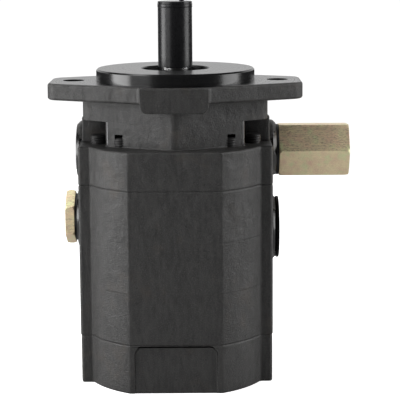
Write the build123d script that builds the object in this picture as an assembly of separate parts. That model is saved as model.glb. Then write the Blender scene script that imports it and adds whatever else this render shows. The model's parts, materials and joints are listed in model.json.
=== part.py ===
from build123d import *
import os
from math import acos, cos, pi, radians, sin, tan

os.makedirs("parts", exist_ok=True)

# Two-stage gear pump with a two-bolt pilot flange, in millimetres.
# The origin is the centre of the mounting face, on the drive shaft's axis.
# +Z runs out along the drive shaft, +X points out of the two ports, and -Y is the flat front.

# Mounting flange and pilot
PILOT_RADIUS = 41.275
PILOT_HEIGHT = 6.35
PILOT_CHAMFER = 0.8
FLANGE_THICKNESS = 8.6
FLANGE_HALF_LENGTH = 65.65
FLANGE_NOSE = 48.0
FLANGE_EAR_HALF_WIDTH = 16.6
FLANGE_CORNER_RADIUS = 8.0
FLANGE_EDGE_RADIUS = 1.4
FLANGE_BOLT_SPACING = 106.38
FLANGE_HOLE_RADIUS = 5.55
FRONT_BLOCK_HALF_WIDTH = 17.0
FRONT_BLOCK_DEPTH = 13.0
FRONT_BLOCK_BLEND = 3.5

# Lengths of the three castings, from the mounting face down
NECK_DEPTH = 32.0
FRONT_HOUSING_DEPTH = 52.0
CENTRE_LENGTH = 79.0
COVER_LENGTH = 25.0

# Outline of the castings, seen along the shafts
BODY_RADIUS = 49.3
FRONT_FLAT = 43.3
PAD_HALF_WIDTH = 50.0
PAD_FRONT = 23.0
PAD_CORNER_RADIUS = 1.6
PAD_ROOT_RADIUS = 1.5
COVER_INSET = 0.3
SEAM_CHAMFER = 0.35
BODY_TOP_CHAMFER = 0.7

# Neck between the flange and the body, with a relief at each corner
NECK_NOSE = 39.7
NECK_SLOPE = 0.5
NECK_HALF_WIDTH = 47.6
NECK_NOSE_RADIUS = 5.0
NECK_SIDE_RADIUS = 6.0
NECK_REAR_DROP = 9.0
CORNER_RELIEF_X = 35.5
CORNER_RELIEF_HEIGHT = 12.8
CORNER_RELIEF_RADIUS = 2.5

# Side bosses
BOSS_FACE = 53.2
BOSS_RIM_CHAMFER = 1.8
OUTLET_BOSS_RADIUS = 16.0
INLET_BOSS_RADIUS = 17.6
VALVE_BOSS_RADIUS = 17.0
OUTLET_ABOVE_SEAM = 12.5
INLET_BELOW_SEAM = 29.9
VALVE_BELOW_SEAM = 23.8

# Gears, both stages on the same centres
MODULE = 3.0
TEETH = 12
PRESSURE_ANGLE = 25.0
DEDENDUM_FACTOR = 1.25
BACKLASH = 0.2
LARGE_GEAR_WIDTH = 20.0
SMALL_GEAR_WIDTH = 8.0
WEAR_PLATE_THICKNESS = 2.5
GEAR_SIDE_CLEARANCE = 0.05
GEAR_TIP_CLEARANCE = 0.06
WEAR_PLATE_CLEARANCE = 0.05

# Shafts, keys and bushings
SHAFT_RADIUS = 7.9375
SHAFT_TOP = 39.4
SHAFT_END_GAP = 1.5
SHAFT_CHAMFER = 0.8
OUTPUT_KEYWAY_WIDTH = 4.76
OUTPUT_KEYWAY_DEPTH = 2.4
OUTPUT_KEYWAY_START = 9.0
KEY_WIDTH = 4.0
KEY_HEIGHT = 4.0
KEY_IN_SHAFT = 2.3
KEY_CLEARANCE = 0.02
KEY_LENGTH_SHARE = 0.75
BUSHING_RADIUS = 10.0
BUSHING_LENGTH = 15.0
SEAL_TO_BUSHING = 3.0
FRONT_DRIVEN_BUSHING_LENGTH = 12.0
BUSHING_CHAMFER = 0.5
RUNNING_CLEARANCE = 0.03
SEATING_CLEARANCE = 0.02
SHAFT_BORE_CLEARANCE = 0.6

# Shaft seal in the pilot, with its retaining ring
SEAL_RADIUS = 17.5
SEAL_TOP = 1.0
SEAL_WIDTH = 8.0
SEAL_WALL = 1.6
SEAL_DISH = 1.6
SEAL_HUB_RADIUS = 9.4
SEAL_FACE_INNER_RADIUS = 11.6
SEAL_BORE_CHAMFER = 0.6
SNAP_RING_THICKNESS = 1.2
SNAP_RING_GROOVE_DEPTH = 1.2
SNAP_RING_INNER_RADIUS = 15.7
SNAP_RING_GAP = 9.0
SNAP_RING_EAR_RADIUS = 2.3
SNAP_RING_EAR_HOLE = 0.9
SNAP_RING_SIDE_CLEARANCE = 0.05

# Transit sleeve over the shaft's end
SLEEVE_RADIUS = 8.95
SLEEVE_BORE_CLEARANCE = 0.05
SLEEVE_FOOT = 6.8
SLEEVE_CAP = 1.6
SLEEVE_EDGE_RADIUS = 0.5
SLEEVE_BAND_HEIGHT = 1.6
SLEEVE_BAND_PROUD = 0.12
NIB_RADIUS = 1.3
NIB_HEIGHT = 1.3
NIB_X = 3.5

# Tie bolts: two rows at each end, mirrored front to back and side to side
TIE_BOLT_RADIUS = 4.0
TIE_BOLT_PROUD = 4.8
TIE_BOLT_HEAD_RADIUS = 6.5
TIE_BOLT_HEAD_HEIGHT = 8.0
TIE_BOLT_SOCKET = 6.0
TIE_BOLT_SOCKET_DEPTH = 4.0
TIE_BOLT_SINK = 8.8
TIE_BOLT_HOLE_CLEARANCE = 0.3
TIE_BOLT_SINK_CLEARANCE = 0.5
TIE_BOLT_RUNOUT = 1.7
TIE_BOLT_END_CHAMFER = 0.8
NOSE_BOLT_X = 27.2
NOSE_BOLT_Y = 22.4
CORNER_BOLT_X = 40.0
CORNER_BOLT_Y = 9.0

# Dowels and section seals at the two seams
DOWEL_RADIUS = 2.5
DOWEL_LENGTH = 14.0
DOWEL_EDGE = 4.0
DOWEL_CHAMFER = 0.4
DOWEL_END_GAP = 0.5
SEAM_RING_OFFSET = 28.5
SEAM_RING_RADIUS = 1.0
SEAM_GROOVE_SIDE_GAP = 0.4

# Outlet adapter, its ring and the check valve behind it
ADAPTER_ACROSS_FLATS = 27.0
ADAPTER_END = 92.0
ADAPTER_TURN = -3.5
ADAPTER_CORNER_CHAMFER = 1.6
ADAPTER_STEM_RADIUS = 11.0
ADAPTER_STEM_LENGTH = 17.0
ADAPTER_BORE_RADIUS = 4.8
ADAPTER_THREAD_RADIUS = 9.15
ADAPTER_THREAD_LENGTH = 17.0
ADAPTER_THREAD_CHAMFER = 1.2
SEAL_RING_THICKNESS = 1.5
SEAL_RING_WIDTH = 2.6
PORT_THREAD_CLEARANCE = 0.05
CHECK_BORE_RADIUS = 8.0
CHECK_SEAT_X = 21.0
CHECK_SEAT_RADIUS = 5.0
CHECK_SEAT_LENGTH = 4.0
CHECK_POPPET_LENGTH = 9.0
CHECK_POPPET_NOSE = 2.6
CHECK_POPPET_WALL = 1.7
CHECK_POPPET_FLOOR = 3.0
VALVE_SLIDING_CLEARANCE = 0.06
VALVE_SEAT_GAP = 0.05
CHECK_SPRING_WIRE = 0.5
CHECK_SPRING_TURNS = 4

# Unloading valve behind the hexagon plug on the left
PLUG_ACROSS_FLATS = 25.4
PLUG_HEAD_HEIGHT = 5.0
PLUG_TURN = 30.0
PLUG_CORNER_CHAMFER = 1.4
PLUG_STEM_RADIUS = 10.0
PLUG_STEM_LENGTH = 16.7
PLUG_SPRING_BORE_RADIUS = 5.6
PLUG_SPRING_BORE_DEPTH = 14.0
UNLOADER_BORE_RADIUS = 7.0
UNLOADER_SEAT_X = 23.0
UNLOADER_SEAT_RADIUS = 4.0
UNLOADER_PISTON_LENGTH = 10.0
UNLOADER_PISTON_NOSE = 2.5
UNLOADER_SPRING_RADIUS = 4.5
UNLOADER_SPRING_WIRE = 0.8
UNLOADER_SPRING_TURNS = 6

# Inlet port and its plastic cap
INLET_RADIUS = 13.5
INLET_THREAD_LENGTH = 18.0
INLET_GALLERY_RADIUS = 5.5
INLET_CAP_RADIUS = 16.6
INLET_CAP_THICKNESS = 1.5
INLET_CAP_REACH = 12.0
INLET_CAP_WALL = 1.6
INLET_CAP_CLEARANCE = 0.08
INLET_CAP_EDGE_RADIUS = 0.5

# Oil passages inside the castings
SUCTION_PASSAGE_X = -17.0
SUCTION_PASSAGE_RADIUS = 5.0
PRESSURE_PASSAGE_X = 24.5
PRESSURE_PASSAGE_Y = 27.0
PRESSURE_PASSAGE_RADIUS = 2.5
SMALL_RELIEF_DEPTH = 7.0

# Sunk panel on the front of the rear cover
PANEL_HALF_WIDTH = 20.8
PANEL_DEPTH = 0.6
PANEL_TOP_GAP = 0.9
PANEL_CORNER_RADIUS = 4.0

# Levels and places worked out from the sizes above
PITCH_RADIUS = MODULE * TEETH / 2
GEAR_CENTRES = 2 * PITCH_RADIUS
TIP_RADIUS = PITCH_RADIUS + MODULE
ROOT_RADIUS = PITCH_RADIUS - DEDENDUM_FACTOR * MODULE
POCKET_RADIUS = TIP_RADIUS + GEAR_TIP_CLEARANCE
MID_Y = GEAR_CENTRES / 2
BODY_HALF_DEPTH = MID_Y + FRONT_FLAT
FRONT_SEAM_Z = -FRONT_HOUSING_DEPTH
REAR_SEAM_Z = FRONT_SEAM_Z - CENTRE_LENGTH
BOTTOM_Z = REAR_SEAM_Z - COVER_LENGTH
OUTLET_Z = FRONT_SEAM_Z + OUTLET_ABOVE_SEAM
INLET_Z = FRONT_SEAM_Z - INLET_BELOW_SEAM
VALVE_Z = FRONT_SEAM_Z - VALVE_BELOW_SEAM
BODY_TOP_Z = -NECK_DEPTH
LARGE_POCKET_DEPTH = LARGE_GEAR_WIDTH + 2 * WEAR_PLATE_THICKNESS
SMALL_POCKET_DEPTH = SMALL_GEAR_WIDTH + 2 * WEAR_PLATE_THICKNESS
LARGE_POCKET_Z = FRONT_SEAM_Z + LARGE_POCKET_DEPTH
SMALL_POCKET_Z = REAR_SEAM_Z + SMALL_POCKET_DEPTH
SEAL_BOTTOM_Z = SEAL_TOP - SEAL_WIDTH
FRONT_DRIVE_BUSHING_LENGTH = SEAL_BOTTOM_Z - SEAL_TO_BUSHING - LARGE_POCKET_Z
SHAFT_BOTTOM_Z = REAR_SEAM_Z - BUSHING_LENGTH - SHAFT_END_GAP
DRIVEN_SHAFT_TOP_Z = LARGE_POCKET_Z + FRONT_DRIVEN_BUSHING_LENGTH - SHAFT_END_GAP
TIE_BOLT_TIP_Z = BODY_TOP_Z + TIE_BOLT_PROUD
ADAPTER_START = BOSS_FACE + SEAL_RING_THICKNESS
CHECK_BORE_END = ADAPTER_START - ADAPTER_STEM_LENGTH
PLUG_START = BOSS_FACE + SEAL_RING_THICKNESS
UNLOADER_BORE_END = PLUG_START - PLUG_STEM_LENGTH

# A length that reaches past every casting, and a tolerance for picking corners
OUTSIDE = ADAPTER_END
NEAR = 0.01


def upright(radius, bottom, top, x=0.0, y=0.0):
    """Round bar along Z, from one level to another."""
    return extrude(Pos(x, y, bottom) * Circle(radius), top - bottom)


def crosswise(radius, start, end, z, y=MID_Y):
    """Round bar along X, from one distance to another."""
    plane = Plane(origin=(start, y, z), x_dir=(0, 1, 0), z_dir=(1, 0, 0))
    return extrude(plane * Circle(radius), end - start)


def block(low, high):
    """Box between two opposite corners."""
    size = [b - a for a, b in zip(low, high)]
    middle = [(a + b) / 2 for a, b in zip(low, high)]
    return Pos(*middle) * Box(*size)


def four_ways(x, y):
    """The four mirrored places of a point, about the middle of the two shafts."""
    front = -y
    rear = GEAR_CENTRES + y
    return [(x, front), (-x, front), (x, rear), (-x, rear)]


def body_plan(inset=0.0):
    """Casting outline: a round about each shaft, flats front and back, and a pad on each side."""
    rounds = Circle(BODY_RADIUS) + Pos(0, GEAR_CENTRES) * Circle(BODY_RADIUS)
    rounds += Pos(0, MID_Y) * Rectangle(2 * BODY_RADIUS, GEAR_CENTRES)
    flats = Pos(0, MID_Y) * Rectangle(4 * BODY_RADIUS, 2 * BODY_HALF_DEPTH)
    pad_depth = GEAR_CENTRES + 2 * PAD_FRONT
    pads = RectangleRounded(2 * (PAD_HALF_WIDTH - inset), pad_depth, PAD_CORNER_RADIUS)
    plan = (rounds & flats) + Pos(0, MID_Y) * pads
    pad_ends = [v for v in plan.vertices() if abs(abs(v.Y - MID_Y) - pad_depth / 2) < NEAR]
    roots = [v for v in pad_ends if abs(v.X) < PAD_HALF_WIDTH - inset - PAD_CORNER_RADIUS - NEAR]
    return fillet(roots, PAD_ROOT_RADIUS)


def flange_plan():
    """Long six-sided flange with rounded ears, flattened at the front, with the front block's blend."""
    ear = (FLANGE_HALF_LENGTH, FLANGE_EAR_HALF_WIDTH)
    corners = [(ear[0], -ear[1]), (ear[0], ear[1]), (0, FLANGE_NOSE)]
    corners += [(-ear[0], ear[1]), (-ear[0], -ear[1]), (0, -FLANGE_NOSE)]
    plan = make_face(Polyline(*corners, close=True))
    ears = [v for v in plan.vertices() if abs(v.X) > FLANGE_HALF_LENGTH / 2]
    plan = fillet(ears, FLANGE_CORNER_RADIUS)
    plan = plan & Rectangle(4 * FLANGE_HALF_LENGTH, 2 * FRONT_FLAT)
    step = Pos(0, -FRONT_FLAT / 2) * Rectangle(2 * FRONT_BLOCK_HALF_WIDTH, FRONT_FLAT)
    plan += step
    blends = [v for v in plan.vertices() if abs(abs(v.X) - FRONT_BLOCK_HALF_WIDTH) < NEAR]
    blends = [v for v in blends if -FRONT_FLAT + NEAR < v.Y < 0]
    return fillet(blends, FRONT_BLOCK_BLEND)


def neck_plan():
    """Neck outline: a blunt wedge at the front and at the back, with straight sides between."""
    shoulder = NECK_NOSE - NECK_SLOPE * NECK_HALF_WIDTH
    front = [(-NECK_HALF_WIDTH, -shoulder), (0, -NECK_NOSE), (NECK_HALF_WIDTH, -shoulder)]
    rear = [(-x, GEAR_CENTRES - y) for x, y in front]
    plan = make_face(Polyline(*front, *rear, close=True))
    noses = [v for v in plan.vertices() if abs(v.X) < NEAR]
    plan = fillet(noses, NECK_NOSE_RADIUS)
    sides = [v for v in plan.vertices() if abs(v.X) > NECK_HALF_WIDTH - NEAR]
    return fillet(sides, NECK_SIDE_RADIUS)


def relieved_neck_plan():
    """Neck outline at its foot, where the four corners are cut back for the tie bolts."""
    plan = neck_plan()
    width = OUTSIDE - CORNER_RELIEF_X
    inner_y = MID_Y - OUTLET_BOSS_RADIUS
    for side in (1, -1):
        for end in (1, -1):
            x = side * (CORNER_RELIEF_X + width / 2)
            y = MID_Y + end * (MID_Y - inner_y + OUTSIDE / 2)
            plan -= Pos(x, y) * Rectangle(width, OUTSIDE)
    edges = [v for v in plan.vertices() if abs(abs(v.X) - CORNER_RELIEF_X) < NEAR]
    return fillet(edges, CORNER_RELIEF_RADIUS)


def two_rounds(radius):
    """Two overlapping rounds on the gear centres, as the gear pockets and wear plates have."""
    return Circle(radius) + Pos(0, GEAR_CENTRES) * Circle(radius)


def seam_ring_path(z):
    """Racetrack round both gear pockets."""
    track = SlotCenterToCenter(GEAR_CENTRES, 2 * SEAM_RING_OFFSET, rotation=90)
    return (Pos(0, MID_Y, z) * track).face().outer_wire()


def seam_groove(floor_z, mouth_z):
    """Groove for a section seal, cut into a seam face."""
    reach = SEAM_RING_RADIUS + SEAM_GROOVE_SIDE_GAP
    outer = SlotCenterToCenter(GEAR_CENTRES, 2 * (SEAM_RING_OFFSET + reach), rotation=90)
    inner = SlotCenterToCenter(GEAR_CENTRES, 2 * (SEAM_RING_OFFSET - reach), rotation=90)
    return extrude(Pos(0, MID_Y, floor_z) * (outer - inner), mouth_z - floor_z)


def bolt_places():
    """All eight tie bolts."""
    return four_ways(NOSE_BOLT_X, NOSE_BOLT_Y) + four_ways(CORNER_BOLT_X, CORNER_BOLT_Y)


def dowel_places():
    """One dowel at the front and one at the back."""
    y = FRONT_FLAT - DOWEL_EDGE
    return [(0, -y), (0, GEAR_CENTRES + y)]


def dowel_holes(seam_z):
    """Clearance for the dowels on both sides of a seam."""
    reach = DOWEL_LENGTH / 2 + DOWEL_END_GAP
    holes = [upright(DOWEL_RADIUS + SEATING_CLEARANCE, seam_z - reach, seam_z + reach, x, y)
             for x, y in dowel_places()]
    return holes[0] + holes[1]


def boss(side, radius, z):
    """Round boss on the side of a casting, with a bevelled rim."""
    plain = crosswise(radius, 0, BOSS_FACE, z)
    rim = plain.edges().filter_by(GeomType.CIRCLE).sort_by(Axis.X)[-1]
    bevelled = chamfer(rim, BOSS_RIM_CHAMFER)
    return bevelled if side > 0 else mirror(bevelled, about=Plane.YZ)


def between_levels(solid, bottom, top):
    """What lies between two levels."""
    return solid & block((-OUTSIDE, -OUTSIDE, bottom), (OUTSIDE, 2 * OUTSIDE, top))


def gear_pocket(floor_z, mouth_z):
    """Figure-of-eight pocket for a pair of gears."""
    return extrude(Pos(0, 0, mouth_z) * two_rounds(POCKET_RADIUS), floor_z - mouth_z)


def front_housing():
    """Front casting: pilot, flange, neck, outlet boss and the pocket of the large gears."""
    plate = extrude(flange_plan(), -FLANGE_THICKNESS)
    rims = plate.edges().filter_by(Axis.Z, reverse=True)
    plate = fillet(rims, FLANGE_EDGE_RADIUS)

    lower = block((-FRONT_BLOCK_HALF_WIDTH, -FRONT_FLAT, -FRONT_BLOCK_DEPTH),
                  (FRONT_BLOCK_HALF_WIDTH, -NECK_NOSE / 2, -FLANGE_EDGE_RADIUS))
    feet = lower.edges().filter_by(Axis.Y).group_by(Axis.Z)[0]
    lower = fillet(feet, FRONT_BLOCK_BLEND)

    pilot = upright(PILOT_RADIUS, -FLANGE_THICKNESS, PILOT_HEIGHT)
    pilot_rim = pilot.edges().filter_by(GeomType.CIRCLE).sort_by(Axis.Z)[-1]
    pilot = chamfer(pilot_rim, PILOT_CHAMFER)

    relief_top = BODY_TOP_Z + CORNER_RELIEF_HEIGHT
    neck_top = -FLANGE_THICKNESS
    neck = extrude(Pos(0, 0, relief_top) * neck_plan(), neck_top - relief_top)
    neck += extrude(Pos(0, 0, BODY_TOP_Z) * relieved_neck_plan(), CORNER_RELIEF_HEIGHT)
    rear_y = GEAR_CENTRES + NECK_NOSE
    roof = make_face(Plane.YZ * Polyline((FRONT_FLAT, neck_top), (rear_y + 1, neck_top),
                                         (rear_y + 1, neck_top - NECK_REAR_DROP), close=True))
    neck -= extrude(roof, OUTSIDE, both=True)

    body = extrude(Pos(0, 0, FRONT_SEAM_Z) * body_plan(), FRONT_HOUSING_DEPTH - NECK_DEPTH)
    body = chamfer(body.faces().sort_by(Axis.Z)[0].edges(), SEAM_CHAMFER)
    body = chamfer(body.faces().sort_by(Axis.Z)[-1].edges(), BODY_TOP_CHAMFER)

    bosses = boss(1, OUTLET_BOSS_RADIUS, OUTLET_Z) + boss(-1, OUTLET_BOSS_RADIUS, OUTLET_Z)
    bosses = between_levels(bosses, FRONT_SEAM_Z, -FLANGE_THICKNESS)

    casting = plate + lower + pilot + neck + body + bosses

    casting -= gear_pocket(LARGE_POCKET_Z, FRONT_SEAM_Z)
    seal_bore = upright(SEAL_RADIUS, SEAL_BOTTOM_Z, PILOT_HEIGHT)
    casting -= seal_bore
    casting -= Pos(0, 0, PILOT_HEIGHT - SEAL_BORE_CHAMFER / 2) * Cone(
        SEAL_RADIUS, SEAL_RADIUS + SEAL_BORE_CHAMFER, SEAL_BORE_CHAMFER)
    groove_top = SEAL_TOP + SNAP_RING_THICKNESS + 2 * SNAP_RING_SIDE_CLEARANCE
    casting -= upright(SEAL_RADIUS + SNAP_RING_GROOVE_DEPTH, SEAL_TOP, groove_top)
    casting -= upright(SHAFT_RADIUS + SHAFT_BORE_CLEARANCE, LARGE_POCKET_Z, SEAL_BOTTOM_Z)
    casting -= upright(BUSHING_RADIUS + SEATING_CLEARANCE, LARGE_POCKET_Z,
                       LARGE_POCKET_Z + FRONT_DRIVE_BUSHING_LENGTH)
    casting -= upright(BUSHING_RADIUS + SEATING_CLEARANCE, LARGE_POCKET_Z,
                       LARGE_POCKET_Z + FRONT_DRIVEN_BUSHING_LENGTH, 0, GEAR_CENTRES)
    casting -= dowel_holes(FRONT_SEAM_Z)

    for x, y in bolt_places():
        casting -= upright(TIE_BOLT_RADIUS + SEATING_CLEARANCE, FRONT_SEAM_Z,
                           TIE_BOLT_TIP_Z + TIE_BOLT_RUNOUT, x, y)
    for x in (FLANGE_BOLT_SPACING / 2, -FLANGE_BOLT_SPACING / 2):
        casting -= upright(FLANGE_HOLE_RADIUS, -2 * FLANGE_THICKNESS, PILOT_HEIGHT, x)

    z = OUTLET_Z
    casting -= crosswise(ADAPTER_STEM_RADIUS + PORT_THREAD_CLEARANCE, CHECK_BORE_END, OUTSIDE, z)
    casting -= crosswise(CHECK_BORE_RADIUS, CHECK_SEAT_X, OUTSIDE, z)
    casting -= crosswise(CHECK_SEAT_RADIUS, 0, CHECK_SEAT_X, z)
    casting -= crosswise(CHECK_BORE_RADIUS, 0, CHECK_SEAT_X - CHECK_SEAT_LENGTH, z)
    casting -= upright(SUCTION_PASSAGE_RADIUS, FRONT_SEAM_Z, LARGE_POCKET_Z, SUCTION_PASSAGE_X, MID_Y)
    casting -= upright(PRESSURE_PASSAGE_RADIUS, FRONT_SEAM_Z, z, PRESSURE_PASSAGE_X, PRESSURE_PASSAGE_Y)
    return casting


def centre_housing():
    """Middle casting: inlet and valve bosses, both shafts' middle bearings, pocket of the small gears."""
    body = extrude(Pos(0, 0, REAR_SEAM_Z) * body_plan(), CENTRE_LENGTH)
    body = chamfer(body.faces().sort_by(Axis.Z)[0].edges(), SEAM_CHAMFER)
    body = chamfer(body.faces().sort_by(Axis.Z)[-1].edges(), SEAM_CHAMFER)
    bosses = boss(1, INLET_BOSS_RADIUS, INLET_Z) + boss(-1, VALVE_BOSS_RADIUS, VALVE_Z)
    casting = body + between_levels(bosses, REAR_SEAM_Z, FRONT_SEAM_Z)

    casting -= gear_pocket(SMALL_POCKET_Z, REAR_SEAM_Z)
    for y in (0, GEAR_CENTRES):
        seat = BUSHING_RADIUS + SEATING_CLEARANCE
        casting -= upright(SHAFT_RADIUS + SHAFT_BORE_CLEARANCE, SMALL_POCKET_Z, FRONT_SEAM_Z, 0, y)
        casting -= upright(seat, FRONT_SEAM_Z - BUSHING_LENGTH, FRONT_SEAM_Z, 0, y)
        casting -= upright(seat, SMALL_POCKET_Z, SMALL_POCKET_Z + BUSHING_LENGTH, 0, y)
    for x, y in bolt_places():
        casting -= upright(TIE_BOLT_RADIUS + TIE_BOLT_HOLE_CLEARANCE, REAR_SEAM_Z, FRONT_SEAM_Z, x, y)
    casting -= dowel_holes(FRONT_SEAM_Z)
    casting -= dowel_holes(REAR_SEAM_Z)
    casting -= seam_groove(FRONT_SEAM_Z - 2 * SEAM_RING_RADIUS, FRONT_SEAM_Z)
    casting -= seam_groove(REAR_SEAM_Z, REAR_SEAM_Z + 2 * SEAM_RING_RADIUS)

    inlet_z = INLET_Z
    casting -= crosswise(INLET_RADIUS, BOSS_FACE - INLET_THREAD_LENGTH, OUTSIDE, inlet_z)
    casting -= crosswise(INLET_GALLERY_RADIUS, SUCTION_PASSAGE_X, OUTSIDE, inlet_z)
    casting -= upright(SUCTION_PASSAGE_RADIUS, REAR_SEAM_Z, FRONT_SEAM_Z, SUCTION_PASSAGE_X, MID_Y)
    casting -= upright(PRESSURE_PASSAGE_RADIUS, REAR_SEAM_Z, FRONT_SEAM_Z,
                       PRESSURE_PASSAGE_X, PRESSURE_PASSAGE_Y)
    relief_x = PRESSURE_PASSAGE_X + PRESSURE_PASSAGE_RADIUS
    relief_y = PRESSURE_PASSAGE_Y + PRESSURE_PASSAGE_RADIUS
    casting -= block((0, MID_Y, REAR_SEAM_Z), (relief_x, relief_y, REAR_SEAM_Z + SMALL_RELIEF_DEPTH))

    valve_z = VALVE_Z
    casting -= crosswise(PLUG_STEM_RADIUS + PORT_THREAD_CLEARANCE, -OUTSIDE, -UNLOADER_BORE_END, valve_z)
    casting -= crosswise(UNLOADER_BORE_RADIUS, -OUTSIDE, -UNLOADER_SEAT_X, valve_z)
    casting -= crosswise(UNLOADER_SEAT_RADIUS, -OUTSIDE, SUCTION_PASSAGE_X, valve_z)
    return casting


def rear_cover():
    """Rear casting: blind bearing bores, bolt head sinks and a sunk panel on its front flat."""
    casting = extrude(Pos(0, 0, BOTTOM_Z) * body_plan(COVER_INSET), COVER_LENGTH)
    casting = chamfer(casting.faces().sort_by(Axis.Z)[-1].edges(), SEAM_CHAMFER)
    casting = chamfer(casting.faces().sort_by(Axis.Z)[0].edges(), SEAM_CHAMFER)
    for y in (0, GEAR_CENTRES):
        casting -= upright(BUSHING_RADIUS + SEATING_CLEARANCE, REAR_SEAM_Z - BUSHING_LENGTH,
                           REAR_SEAM_Z, 0, y)
        casting -= upright(SHAFT_RADIUS + SHAFT_BORE_CLEARANCE, SHAFT_BOTTOM_Z - SHAFT_END_GAP,
                           REAR_SEAM_Z, 0, y)
    for x, y in bolt_places():
        casting -= upright(TIE_BOLT_RADIUS + TIE_BOLT_HOLE_CLEARANCE, BOTTOM_Z, REAR_SEAM_Z, x, y)
        casting -= upright(TIE_BOLT_HEAD_RADIUS + TIE_BOLT_SINK_CLEARANCE, BOTTOM_Z,
                           BOTTOM_Z + TIE_BOLT_SINK, x, y)
    casting -= dowel_holes(REAR_SEAM_Z)
    panel_height = COVER_LENGTH - PANEL_TOP_GAP
    panel = block((-PANEL_HALF_WIDTH, -FRONT_FLAT, BOTTOM_Z - panel_height),
                  (PANEL_HALF_WIDTH, -FRONT_FLAT + PANEL_DEPTH, BOTTOM_Z + panel_height))
    panel = fillet(panel.edges().filter_by(Axis.Y), PANEL_CORNER_RADIUS)
    return casting - panel


def involute(radius):
    """Angle by which a tooth flank leans over, at a radius, in radians."""
    base = PITCH_RADIUS * cos(radians(PRESSURE_ANGLE))
    pressure = acos(min(1.0, base / radius))
    return tan(pressure) - pressure


def polar(radius, angle):
    """Point at a radius and an angle in radians."""
    return (radius * cos(angle), radius * sin(angle))


def gear_face():
    """Involute gear outline, with its first tooth along +X."""
    base = PITCH_RADIUS * cos(radians(PRESSURE_ANGLE))
    thickness = pi * MODULE / 2 - BACKLASH / 2
    half = thickness / (2 * PITCH_RADIUS) + involute(PITCH_RADIUS)
    steps = 4
    radii = [base + (TIP_RADIUS - base) * i / steps for i in range(steps + 1)]
    leans = [half - involute(r) for r in radii]
    pitch = 2 * pi / TEETH
    edges = []
    for tooth in range(TEETH):
        middle = tooth * pitch
        rise = [polar(r, middle - lean) for r, lean in zip(radii, leans)]
        fall = [polar(r, middle + lean) for r, lean in zip(radii, leans)][::-1]
        foot = polar(ROOT_RADIUS, middle - half)
        heel = polar(ROOT_RADIUS, middle + half)
        next_foot = polar(ROOT_RADIUS, middle + pitch - half)
        edges.append(Line(foot, rise[0]))
        edges.append(Spline(*rise))
        edges.append(ThreePointArc(rise[-1], polar(TIP_RADIUS, middle), fall[0]))
        edges.append(Spline(*fall))
        edges.append(Line(fall[-1], heel))
        edges.append(ThreePointArc(heel, polar(ROOT_RADIUS, middle + pitch / 2), next_foot))
    return make_face(edges)


def gear(width, top_z, y, turn):
    """Keyed gear below a level, turned so that it meshes with its mate."""
    outline = Rot(0, 0, turn) * gear_face()
    blank = extrude(Pos(0, y, top_z - width) * outline, width)
    blank -= upright(SHAFT_RADIUS + SEATING_CLEARANCE, top_z - width, top_z, 0, y)
    slot = gear_key_box(y, top_z - width, top_z, KEY_CLEARANCE)
    return blank - slot


def gear_key_box(y, bottom, top, clearance):
    """Key on the -Y side of a shaft, half in the shaft and half in the gear."""
    half = KEY_WIDTH / 2 + clearance
    inner = y - (SHAFT_RADIUS - KEY_IN_SHAFT) + clearance
    outer = y - (SHAFT_RADIUS - KEY_IN_SHAFT + KEY_HEIGHT) - clearance
    return block((-half, outer, bottom), (half, inner, top))


def gear_spans():
    """Middle level and width of each stage's gear."""
    large = FRONT_SEAM_Z + LARGE_POCKET_DEPTH / 2
    small = REAR_SEAM_Z + SMALL_POCKET_DEPTH / 2
    return [(large, LARGE_GEAR_WIDTH), (small, SMALL_GEAR_WIDTH)]


def gear_keys(y, clearance=0.0):
    """The two keys of one shaft."""
    keys = []
    for middle, width in gear_spans():
        half = KEY_LENGTH_SHARE * width / 2 + clearance
        keys.append(gear_key_box(y, middle - half, middle + half, clearance))
    return keys


def shaft(bottom, top, y):
    """Ground shaft with its two gear keyways."""
    bar = upright(SHAFT_RADIUS, bottom, top, 0, y)
    bar = chamfer(bar.edges().filter_by(GeomType.CIRCLE), SHAFT_CHAMFER)
    for key in gear_keys(y, KEY_CLEARANCE):
        bar -= key
    return bar


def drive_shaft():
    """Through shaft of both stages, with the output keyway at its top."""
    bar = shaft(SHAFT_BOTTOM_Z, SHAFT_TOP, 0)
    half = OUTPUT_KEYWAY_WIDTH / 2
    floor = SHAFT_RADIUS - OUTPUT_KEYWAY_DEPTH
    run = SHAFT_TOP - OUTPUT_KEYWAY_START
    slot = block((-half, floor, OUTPUT_KEYWAY_START), (half, OUTSIDE, OUTPUT_KEYWAY_START + 2 * run))
    return bar - slot


def shaft_sleeve():
    """Plastic tube closed at the top, with a thin band and a moulding nib."""
    top = SHAFT_TOP + SLEEVE_CAP
    tube = upright(SLEEVE_RADIUS, SLEEVE_FOOT, top)
    tube = fillet(tube.edges().filter_by(GeomType.CIRCLE).sort_by(Axis.Z)[-1], SLEEVE_EDGE_RADIUS)
    band_top = top - SLEEVE_EDGE_RADIUS - SLEEVE_BAND_HEIGHT / 2
    tube += upright(SLEEVE_RADIUS + SLEEVE_BAND_PROUD, band_top - SLEEVE_BAND_HEIGHT, band_top)
    tube -= upright(SHAFT_RADIUS + SLEEVE_BORE_CLEARANCE, SLEEVE_FOOT, SHAFT_TOP)
    nib = upright(NIB_RADIUS, top - SLEEVE_CAP / 2, top + NIB_HEIGHT, NIB_X)
    return tube + nib


def bushing(start, length, y):
    """Plain bearing bush from one level up."""
    ring = Circle(BUSHING_RADIUS) - Circle(SHAFT_RADIUS + RUNNING_CLEARANCE)
    bush = extrude(Pos(0, y, start) * ring, length)
    rims = bush.edges().filter_by(GeomType.CIRCLE)
    outer = [e for e in rims if e.radius > BUSHING_RADIUS - NEAR]
    return chamfer(outer, BUSHING_CHAMFER)


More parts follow.
